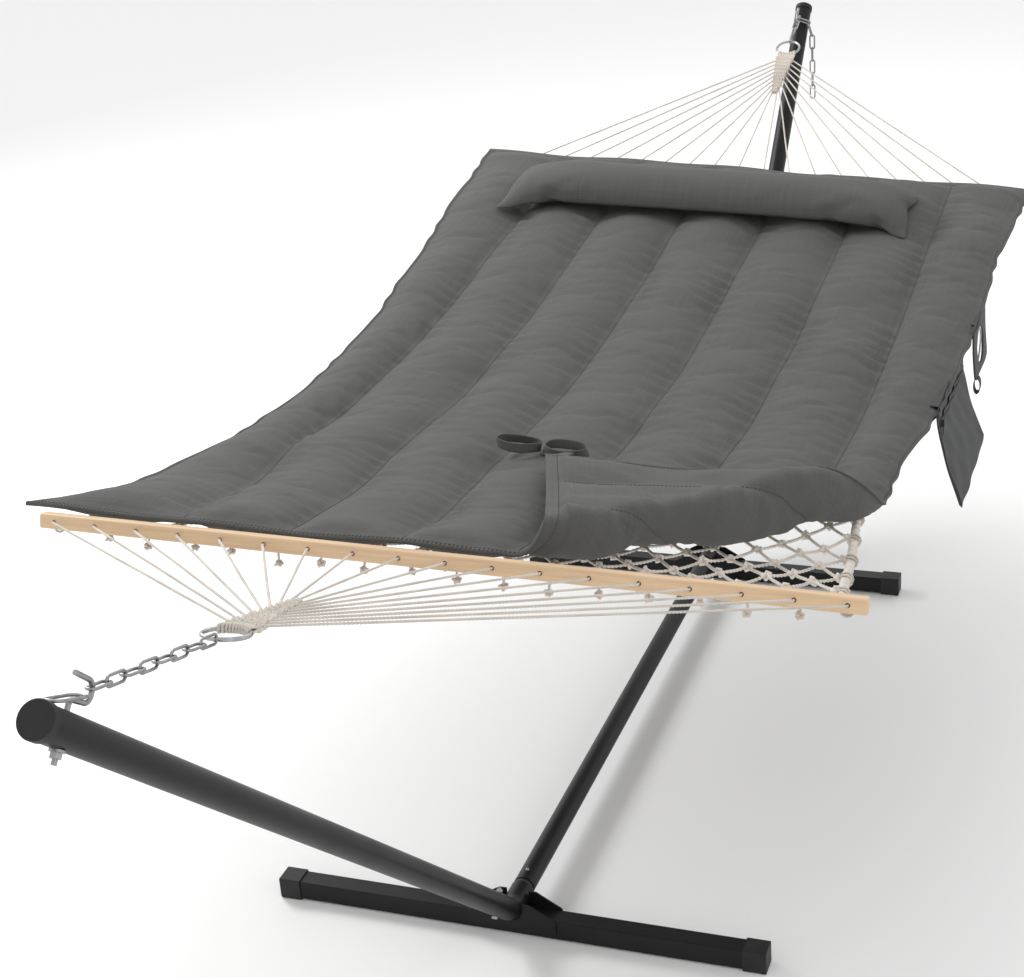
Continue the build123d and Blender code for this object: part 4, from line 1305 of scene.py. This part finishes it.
    def rise(self, columns: np.ndarray, rows: np.ndarray, sewn: np.ndarray) -> np.ndarray:
        """The flat cloth's points after it has billowed between its seams."""
        grid_s, grid_y = np.meshgrid(columns, rows)
        draw = np.random.default_rng(4)
        stops = np.array([-self.half, *self.seams(), self.half])
        place = np.clip(np.searchsorted(stops, grid_s) - 1, 0, len(stops) - 2)
        share = (grid_s - stops[place]) / (stops[place + 1] - stops[place])
        ends = np.clip(np.minimum(grid_y - rows[2], rows[-3] - grid_y) / 0.05, 0.0, 1.0) ** 0.5
        vault = self.crown * np.sin(math.pi * np.clip(share, 0, 1)) ** 0.8 * ends * ~sewn
        gaps = np.abs(grid_s[..., None] - stops[1:-1])
        gap = np.min(gaps, -1)
        hand = np.sign(grid_s - stops[1:-1][np.argmin(gaps, -1)])
        strength = 0.5 + 0.5 * np.sin(grid_y * 7.3 + place * 2.4) * np.sin(grid_y * 3.1 - place)
        wave = np.sin((grid_y * 104 + 4.4 * np.sin(grid_y * 15 + place * 1.7)) + hand * gap * 70 + place * 2.1)
        beside = np.exp(-((gap / self.pucker_reach) ** 2)) * (1 - np.exp(-((gap / 0.010) ** 2)))
        pucker = self.pucker_height * strength * wave * beside * ends * ~sewn
        slant = np.sin(grid_y * 31 + grid_s * 24 + place * 1.9) * np.sin(grid_y * 11 + place)
        crease = self.crease_height * slant * np.sin(math.pi * share) * ends * ~sewn
        start = vault + pucker + crease
        points = np.stack([grid_s, grid_y, start + draw.uniform(0, 0.0006, grid_s.shape) * ~sewn], -1).reshape(-1, 3)
        rested = cloth_rise(
            points,
            grid_faces(len(rows), len(columns)),
            sewn.reshape(-1),
            {"gravity": 1.0, "pressure": 0.0, "stretch": 0.012, "stiffness": 12.0, "bending": 0.3, "frames": 24},
        ).reshape(*grid_s.shape, 3)
        high = np.percentile(rested[..., 2], 96)
        rested[..., 2] *= min(1.4, self.crown / max(high, 1e-4))
        rested[..., 2] += self.pucker_kept * pucker + self.crease_kept * crease
        return rested

    def build(self, finishes: Finishes) -> tuple[bpy.types.Object, list[np.ndarray]]:
        """Builds the pad.

        Args:
            finishes: the finishes.

        Returns:
            The pad and the lines that its stitches follow.
        """
        columns, sewn_columns = self.lines_across()
        rows, sewn_rows = self.lines_along()
        sewn = sewn_columns[None, :] | sewn_rows[:, None]
        rested = self.rise(columns, rows, sewn)
        s = np.clip(rested[..., 0], -self.half, self.half)
        y = np.clip(rested[..., 1], rows[0], rows[-1])
        grid_s, grid_y = np.meshgrid(columns, rows)
        even = self.middle(grid_s, grid_y)
        normal = np.cross(np.gradient(even, axis=1), np.gradient(even, axis=0))
        normal /= np.linalg.norm(normal, axis=-1, keepdims=True)
        base = np.full(grid_s.shape, self.seam_half)
        edge = np.minimum(self.half - np.abs(grid_s), np.minimum(grid_y - rows[0], rows[-1] - grid_y))
        base += np.where(edge < self.side_hem * 0.8, 0.0016, 0.0)
        centre = self.middle(s, y)
        w = np.clip(rested[..., 2], 0, None)
        upper = centre + normal * (w + base)[..., None]
        lower = centre - normal * (np.roll(w, (17, 0), (0, 1)) * self.under * ~sewn + base)[..., None]
        count_r, count_c = grid_s.shape
        total = count_r * count_c
        points = np.concatenate([upper.reshape(-1, 3), lower.reshape(-1, 3)])
        faces = grid_faces(count_r, count_c) + grid_faces(count_r, count_c, total, True)
        border = (
            [(0, c) for c in range(count_c)]
            + [(r, count_c - 1) for r in range(1, count_r)]
            + [(count_r - 1, c) for c in range(count_c - 2, -1, -1)]
            + [(r, 0) for r in range(count_r - 2, 0, -1)]
        )
        ring = [r * count_c + c for r, c in border]
        for a, b in zip(ring, ring[1:] + ring[:1]):
            faces.append((b, a, a + total, b + total))
        plan = np.stack([grid_s, grid_y], -1).reshape(-1, 2)
        pad = cloth_mesh("quilted_pad_sewn", points, faces, np.concatenate([plan, plan + 3.0]), finishes.cloth)
        face_outward(pad.data)
        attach(pad, "hammock")
        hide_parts("quilted_pad")
        lines = []
        lift = 0.0007
        over, below = upper + normal * lift, lower - normal * lift
        for column in np.where(sewn_columns)[0]:
            place = columns[column]
            on_seam = any(abs(place - seam) < 1e-6 for seam in self.seams())
            on_hem = abs(abs(place) - self.half + self.side_hem) < 1e-6
            if on_seam or (on_hem and abs(abs(place) - self.half) >= 0.004):
                lines += [over[3:-3, column], below[3:-3, column]]
        for row in (2, count_r - 3):
            lines += [over[row, 2:-2], below[row, 2:-2]]
        edge_row = (0.85 * upper[0] + 0.15 * upper[1]) + normal[0] * lift
        lines.append(edge_row[1:-1])
        return pad, lines


@dataclass
class Pillow:
    """A long soft pillow with drawn-in sides and pointed corners."""

    length: float = 0.99
    width: float = 0.256
    thick: float = 0.096
    centre: Triple = (-0.032, 0.925, 0.915)
    edge_drop: float = 0.030
    tilt: float = 2.7
    slope: float = 6.45
    step: float = 0.0125

    def build(self, finishes: Finishes) -> bpy.types.Object:
        """Builds the pillow from two sheets sewn round their edge and filled.

        Args:
            finishes: the finishes.

        Returns:
            The pillow.
        """
        count_x, count_y = round(self.length / self.step) + 1, round(self.width / self.step) + 1
        half_x, half_y = self.length / 2, self.width / 2
        gx, gy = np.meshgrid(np.linspace(-half_x, half_x, count_x), np.linspace(-half_y, half_y, count_y))
        edge = np.minimum(half_x - np.abs(gx), half_y - np.abs(gy))
        start = 0.004 * np.clip(edge / 0.03, 0, 1)
        draw = np.random.default_rng(8)
        start = start + draw.uniform(0, 0.0008, gx.shape) * (edge > 0.001)
        inner = [(r, c) for r in range(1, count_y - 1) for c in range(1, count_x - 1)]
        top = np.stack([gx, gy, start], -1).reshape(-1, 3)
        low_points = np.array([(gx[r, c], gy[r, c], -start[r, c]) for r, c in inner])
        index = np.arange(count_x * count_y).reshape(count_y, count_x)
        low_index = index.copy()
        for n, (r, c) in enumerate(inner):
            low_index[r, c] = count_x * count_y + n
        faces = grid_faces(count_y, count_x)
        for r in range(count_y - 1):
            for c in range(count_x - 1):
                corners = ((r, c), (r + 1, c), (r + 1, c + 1), (r, c + 1))
                faces.append(tuple(low_index[corner] for corner in corners))
        points = np.concatenate([top, low_points])
        plan = points[:, :2].copy()
        plan[len(top):] += 2.0
        rested = cloth_rise(
            points, faces, np.zeros(len(points), bool),
            {"gravity": 0.0, "pressure": 4.0, "stretch": 0.0, "stiffness": 14.0, "bending": 0.3, "frames": 24},
        )
        rested[:, 2] *= self.thick / 2 / max(np.percentile(rested[:, 2], 99), 1e-4)
        rested[:, 0] *= self.length / np.ptp(rested[:, 0])
        rested[:, 1] *= self.width / np.ptp(rested[:, 1])
        rested[:, 2] = np.where(rested[:, 2] < 0, rested[:, 2] * 0.55, rested[:, 2])
        rim = np.clip(np.abs(rested[:, 1]) / half_y, 0, 1) ** 3 + np.clip(np.abs(rested[:, 0]) / half_x, 0, 1) ** 14
        rested[:, 2] -= self.edge_drop * np.clip(rim, 0, 1)
        tilt, slope = math.radians(self.tilt), math.radians(self.slope)
        x_dir = np.array([math.cos(tilt), 0.0, -math.sin(tilt)])
        y_dir = np.array([0.0, math.cos(slope), math.sin(slope)])
        up = np.cross(x_dir, y_dir)
        world = np.array(self.centre) + rested[:, :1] * x_dir + rested[:, 1:2] * y_dir + rested[:, 2:] * up
        pillow = cloth_mesh("pillow_stuffed", world, faces, plan, finishes.cloth)
        face_outward(pillow.data)
        smooth = pillow.modifiers.new("smooth", "SUBSURF")
        smooth.levels = smooth.render_levels = 1
        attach(pillow, "hammock")
        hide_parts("pillow")
        return pillow


def ribbon(
    name: str, line: np.ndarray, across: np.ndarray, width: float, thick: float, finish: bpy.types.Material
) -> bpy.types.Object:
    """A flat tape that follows a line.

    Args:
        name: the piece's name.
        line: the tape's middle line.
        across: the direction of its width, one for all points or one for each.
        width: its width.
        thick: its thickness.
        finish: its material.

    Returns:
        The tape.
    """
    across = np.broadcast_to(across, line.shape)
    across = (across / np.linalg.norm(across, axis=1, keepdims=True))[:, None]
    ahead = np.gradient(line, axis=0)
    face = np.cross(ahead, across[:, 0])
    face = (face / np.linalg.norm(face, axis=1, keepdims=True))[:, None]
    shares = np.array([-0.5, -0.44, -0.15, 0.15, 0.44, 0.5])
    puff = np.array([0.35, 0.5, 0.42, 0.42, 0.5, 0.35])[None, :, None]
    count = len(line)
    upper = line[:, None] + across * shares[None, :, None] * width + face * puff * thick
    lower = line[:, None] + across * shares[None, ::-1, None] * width - face * puff[:, ::-1] * thick
    ring = np.concatenate([upper, lower], 1)
    sides = ring.shape[1]
    faces = [
        (i * sides + s, i * sides + (s + 1) % sides, (i + 1) * sides + (s + 1) % sides, (i + 1) * sides + s)
        for i in range(count - 1)
        for s in range(sides)
    ]
    faces += [tuple(range(sides))[::-1], tuple((count - 1) * sides + s for s in range(sides))]
    length = np.concatenate([[0], np.cumsum(np.linalg.norm(np.diff(line, axis=0), axis=1))])
    plan = np.stack([np.repeat(length, sides), np.tile(np.concatenate([shares, shares[::-1] + 2]) * width, count)], 1)
    piece = cloth_mesh(name, ring.reshape(-1, 3), faces, plan, finish)
    face_outward(piece.data)
    return piece


@dataclass
class PadTies:
    """The two looped tapes at the folded corner's point, lying on the pad."""

    centre: tuple[float, float] = (0.006, -0.420)
    width: float = 0.017
    thick: float = 0.0022

    def build(self, finishes: Finishes) -> bpy.types.Object:
        """Builds both loops as one piece, with a wrapped band where they are sewn on."""
        cx, cy = self.centre
        parts = []
        for hand, size in ((-1.0, (0.052, 0.026)), (1.0, (0.050, 0.030))):
            turn = np.linspace(math.pi * 0.02, math.pi * 1.98, 40)
            x = cx + hand * (size[0] * (1 - np.cos(turn)) * 0.82 + 0.004)
            y = cy + size[1] * np.sin(turn) * hand - 0.012 * hand * (1 - np.cos(turn)) / 2
            z = PAD_BED.height(x, y) + 0.030 + 0.010 * np.abs(np.sin(turn)) + 0.004 * np.cos(2 * turn)
            line = np.stack([x, y, z], 1)
            across = np.stack([0.25 * np.cos(turn), 0.25 * np.sin(turn), np.ones_like(turn)], 1)
            parts.append(ribbon(f"tie_{hand}", line, across, self.width, self.thick, finishes.cloth))
        x = np.linspace(cx + 0.006, cx + 0.075, 14)
        y = cy - 0.004 - (x - cx) * 0.85
        band = np.stack([x, y, PAD_BED.height(x, y) + 0.026 + 0.022 * np.clip((x - cx) / 0.075, 0, 1)], 1)
        parts.append(ribbon("tie_band", band, np.array([0.6, 0.75, 0.1]), self.width, self.thick, finishes.cloth))
        ties = join(parts, "corner_tie_loops")
        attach(ties, "hammock")
        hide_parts("pad_ties")
        return ties


def join(parts: list[bpy.types.Object], name: str) -> bpy.types.Object:
    """Joins pieces of one finish into one mesh.

    Args:
        parts: the pieces, which are used up.
        name: the joined piece's name.

    Returns:
        The joined piece.
    """
    whole = bmesh.new()
    for part in parts:
        whole.from_mesh(part.data)
    mesh = bpy.data.meshes.new(name)
    whole.to_mesh(mesh)
    whole.free()
    mesh.materials.append(parts[0].data.materials[0])
    for part in parts:
        bpy.data.objects.remove(part)
    mesh.polygons.foreach_set("use_smooth", [True] * len(mesh.polygons))
    return link_mesh(mesh, name)


@dataclass
class MagazineBag:
    """A flat cloth bag hung at the pad's side, folded from one cut and open at its top, with a zip below its rim."""

    x: float = 0.640
    y: float = 0.160
    top: float = 0.762
    length: float = 0.350
    drop: float = 0.190
    gap: float = 0.0045
    flare: float = 0.048

    def wall(self, side: float, u: np.ndarray, v: np.ndarray) -> np.ndarray:
        """One wall's surface: u runs along it and v down from its rim, both from 0 to 1."""
        belly = np.sin(np.pi * np.clip(u, 0, 1)) ** 0.6 * np.clip(v * 1.6, 0, 1) * np.clip((1 - v) * 5, 0, 1) ** 0.5
        crease = 0.0022 * np.sin(u * 17 + v * 9) * v * (1 - u) + 0.0016 * np.sin(u * 31 - v * 12) * (1 - v)
        x = self.x + side * (self.gap * (0.35 + 0.65 * belly)) + self.flare * v**1.5 + crease * (1 if side > 0 else 0.4)
        draw_in = 0.006 * np.sin(np.pi * v)
        y = self.y + (u - 0.5) * (self.length - draw_in * 2)
        round_off = 0.010 * (1 - np.sqrt(np.clip(1 - np.clip((np.abs(u - 0.5) - 0.47) / 0.03, 0, 1) ** 2, 0, 1)))
        z = self.top - v * (self.drop - round_off) - 0.004 * np.sin(np.pi * u) * (1 - v)
        return np.stack([x, y, z], -1)

    def build(self, finishes: Finishes) -> list[bpy.types.Object]:
        """Builds the bag, its zip and slider."""
        us, vs = np.linspace(0, 1, 71), np.linspace(0, 1, 39)
        u, v = np.meshgrid(us, vs)
        front, back = self.wall(1.0, u, v), self.wall(-1.0, u, v)
        back[:, 0], back[:, -1], back[-1] = front[:, 0], front[:, -1], front[-1]
        rows = np.concatenate([front, back[::-1][1:]])
        flat = np.stack([u * self.length, v * self.drop], -1)
        plan = np.concatenate([flat, (flat * [1, -1] + [0, 2 * self.drop])[::-1][1:]]).reshape(-1, 2)
        count_r, count_c = rows.shape[:2]
        bag = cloth_mesh("magazine_bag_sewn", rows.reshape(-1, 3), grid_faces(count_r, count_c), plan, finishes.pouch)
        work = bmesh.new()
        work.from_mesh(bag.data)
        bmesh.ops.remove_doubles(work, verts=work.verts, dist=0.00002)
        bmesh.ops.recalc_face_normals(work, faces=work.faces)
        work.to_mesh(bag.data)
        work.free()
        wall = bag.modifiers.new("cloth_thickness", "SOLIDIFY")
        wall.thickness, wall.offset = 0.0012, 0.0
        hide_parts("magazine_bag")
        u_line = np.linspace(0.03, 0.97, 60)
        zip_line = self.wall(1.0, u_line, np.full(60, 0.14)) + [0.0012, 0, 0]
        leaning = np.array([0.05, 0.0, 1.0])
        tape = ribbon("magazine_bag_zip_tape", zip_line, leaning, 0.022, 0.0014, finishes.pouch)
        rim_line = self.wall(1.0, np.linspace(0.005, 0.995, 60), np.full(60, 0.02)) + [0.0006, 0, 0]
        rim = ribbon("magazine_bag_rim_binding", rim_line, leaning, 0.010, 0.0030, finishes.pouch)
        teeth = stitch_recipe(bead_shape("zip_tooth", (0.0007, 0.0008, 0.0024), 2, 5))
        teeth_line = guide_lines("teeth", [zip_line + [0.0012, 0, 0]])
        row = teeth.apply(teeth_line, "magazine_bag_zip_teeth", finishes.zip, Pitch=0.0022)
        slider = self.slider(finishes)
        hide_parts("magazine_bag_zip_pull")
        for piece in (bag, tape, rim, row):
            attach(piece, "bag")
        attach(slider, "bag_zip")
        return [bag, tape, rim, row, slider]

    def slider(self, finishes: Finishes) -> bpy.types.Object:
        """Builds the zip's slider with its tab."""
        parts = []
        y = self.y - self.length / 2 + 0.022
        x = float(self.wall(1.0, np.array(0.062), np.array(0.14))[0]) + 0.003
        for low, high, wide, deep in ((-0.031, -0.019, 0.0080, 0.0046), (-0.050, -0.029, 0.0052, 0.0016)):
            z = np.linspace(self.top + low, self.top + high, 9)
            bulge = 0.0008 * np.sin(np.linspace(0, math.pi, 9))
            line = np.stack([x + 0.0016 + bulge, np.full(9, y), z], 1)
            parts.append(ribbon("slider_part", line, np.array([0.0, 1.0, 0.0]), wide, deep, finishes.zip))
        return join(parts, "magazine_bag_zip_slider")


@dataclass
class CupHolder:
    """A stiff cloth panel with a bound hole round the steel ring, and a small strap loop under it."""

    x: float = 0.658
    y: float = 0.478
    top: float = 0.786
    length: float = 0.190
    drop: float = 0.112
    hole: float = 0.0385
    thick: float = 0.0046

    def build(self, finishes: Finishes) -> list[bpy.types.Object]:
        """Builds the panel, its edge binding and its loop."""
        count, rings = 96, 9
        centre = np.array([self.y, self.top - self.drop / 2 - 0.004])
        middle = np.array([self.y, self.top - self.drop / 2])
        angles = np.arange(count) / count * math.tau
        unit = np.stack([np.cos(angles), np.sin(angles)], 1)
        power = 9.0
        reach = np.abs(unit / [self.length / 2, self.drop / 2]) ** power
        outer = middle + unit * ((reach[:, 0] + reach[:, 1]) ** (-1 / power))[:, None]
        inner = centre + unit * self.hole
        shares = np.linspace(0, 1, rings)
        flat = inner[None] + (outer - inner)[None] * shares[:, None, None]
        puff = self.thick / 2 * np.array([0.75, 1.0, 1.0, 0.92, 0.95, 1.0, 0.9, 0.55, 0.8])
        bend = 0.0012 * np.sin((flat[..., 0] - self.y) * 30) + 0.007 * ((self.top - flat[..., 1]) / self.drop) ** 2
        sheets = []
        for side in (1.0, -1.0):
            x = self.x + bend + side * puff[:, None]
            sheets.append(np.stack([x, flat[..., 0], flat[..., 1]], -1).reshape(-1, 3))
        total = count * rings
        faces = []
        for r in range(rings - 1):
            for c in range(count):
                n = (c + 1) % count
                faces.append((r * count + c, (r + 1) * count + c, (r + 1) * count + n, r * count + n))
                low = total + r * count
                faces.append((low + c, low + n, low + count + n, low + count + c))
        for r in (0, rings - 1):
            for c in range(count):
                here, ahead = r * count + c, r * count + (c + 1) % count
                faces.append((here, ahead, total + ahead, total + here))
        plan = np.concatenate([flat.reshape(-1, 2), flat.reshape(-1, 2) + 1.0])
        panel = cloth_mesh("cup_holder_panel_sewn", np.concatenate(sheets), faces, plan, finishes.pouch)
        face_outward(panel.data)
        turn = np.linspace(0, 1, 30) * math.tau
        loop_x = self.x + 0.0065 * np.sin(turn) + 0.007
        loop_y = np.full(30, self.y - self.length / 2 + 0.030)
        loop_z = self.top - self.drop + 0.0025 - 0.0165 * (1 - np.cos(turn))
        loop_line = np.stack([loop_x, loop_y, loop_z], 1)
        loop = ribbon("cup_strap_loop_tape", loop_line, np.array([0.0, 1.0, 0.0]), 0.022, 0.0018, finishes.pouch)
        for piece in (panel, loop):
            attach(piece, "cup_holder_panel")
        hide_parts("cup_holder")
        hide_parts("cup_strap_loop")
        return [panel, loop]


@dataclass
class PouchTapes:
    """The tapes sewn to the pad's side that carry the bag and the cup holder."""

    def build(self, finishes: Finishes) -> bpy.types.Object:
        """Builds both tapes as one piece."""
        parts = []
        for x, y, top, length, edge in ((0.6365, 0.160, 0.762, 0.350, 0.600), (0.6555, 0.478, 0.786, 0.190, 0.622)):
            ys = np.linspace(y - length / 2 + 0.045, y + length / 2 - 0.025, 40)
            ripple = 0.0004 * np.sin(ys * 120)
            line = np.stack([np.full(40, (x + edge) / 2), ys, top - 0.0016 + ripple], 1)
            parts.append(ribbon("tape", line, np.array([1.0, 0.0, -0.06]), x - edge + 0.004, 0.0018, finishes.pouch))
        tapes = join(parts, "pouch_carrying_tapes")
        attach(tapes, "hammock")
        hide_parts("pouch_tapes")
        return tapes


# ---------------------------------------------------------------------------------------- the stand
@dataclass
class Welds:
    """Weld beads where each arm sits in its foot and where the saddle plates meet the foot."""

    tube_radius: float = 0.021
    foot_y: float = 0.722
    foot_half: float = 0.019
    keel_z: float = 0.054

    def lines(self) -> list[np.ndarray]:
        """The beads' lines."""
        lines = []
        for side in (-1.0, 1.0):
            for face in (self.foot_half + 0.0035, -self.foot_half - 0.0035):
                turn = np.linspace(math.radians(8), math.radians(172), 24)
                y = side * (self.foot_y + face)
                rise = 0.0 if face < 0 else 0.0012
                x = (self.tube_radius + 0.0006) * np.cos(turn)
                z = self.keel_z + rise - (self.tube_radius + 0.0006) * np.sin(turn)
                lines.append(np.stack([x, np.full(24, y), z], 1))
            for hand in (-1.0, 1.0):
                for face in (-1.0, 1.0):
                    x = np.linspace(hand * 0.082, hand * 0.030, 18)
                    y = side * self.foot_y + face * (self.foot_half + 0.001)
                    lines.append(np.stack([x, np.full(18, y), np.full(18, 0.0412)], 1))
        return lines

    def build(self, beads: Recipe, finishes: Finishes) -> bpy.types.Object:
        """Builds the beads as one piece."""
        piece = beads.apply(guide_lines("welds", self.lines()), "foot_weld_beads", finishes.paint, Pitch=0.0026)
        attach(piece, "stand")
        return piece


class Hammock:
    """The whole object, built in order round the fixed frame."""

    def __init__(self) -> None:
        """Loads the frame and the finishes."""
        self.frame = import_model()
        self.cad_box = [list(corner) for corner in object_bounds()]
        self.finishes = Finishes()

    def dress_nodes(self) -> None:
        """Gives every fixed node the finish of its slot."""
        slots = {row["node"]: row["material_slot"] for row in self.frame["record"]["subparts"]}
        for name, node in self.frame["nodes"].items():
            finish = self.finishes.of_slot(slots[name])
            if not node.material_slots:
                node.data.materials.append(finish)
            for place in node.material_slots:
                place.link = "OBJECT"
                place.material = finish

    def build(self) -> None:
        """Builds every piece."""
        Camera().build()
        Studio().build(self.finishes.floor)
        self.dress_nodes()
        laid = twisted_cord_recipe()
        knots = scatter_recipe("set_knots", knot_shape("wrapped_knot", 0.0075, 0.0028))
        for rope in (
            Suspension(End.FRONT, (0.0, -1.5556145, 1.0512259), (0.041, -1.049, 0.909), 0.77),
            Suspension(End.REAR, (0.0, 1.7228968, 1.0902208), (0.0, 1.200, 0.855), 2.85),
        ):
            self.report(rope.build(laid, knots, self.finishes))
        self.report(Net().build(laid, knots, self.finishes))
        pad, seam_lines = QuiltedPad().build(self.finishes)
        sew = stitch_recipe(bead_shape("stitch", (0.0024, 0.0007, 0.0007), 2, 5))
        stitches = sew.apply(guide_lines("seams", seam_lines), "pad_stitching", self.finishes.thread, Pitch=0.0068)
        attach(stitches, "hammock")
        self.report([pad, stitches, Pillow().build(self.finishes), PadTies().build(self.finishes)])
        self.report([PouchTapes().build(self.finishes)])
        self.report(MagazineBag().build(self.finishes))
        self.report(CupHolder().build(self.finishes))
        beads = stitch_recipe(bead_shape("weld_bead", (0.0022, 0.0019, 0.0019), 3, 6))
        self.report([Welds().build(beads, self.finishes)])

    def report(self, pieces: list[bpy.types.Object]) -> None:
        """Logs each piece's name and size."""
        for piece in pieces:
            LOG.info("%s: %d faces", piece.name, len(piece.data.polygons))


def main() -> None:
    """Builds the hammock."""
    logging.basicConfig(level=logging.INFO, format="%(name)s %(message)s")
    hammock = Hammock()
    hammock.build()


if __name__ == "__main__":
    main()
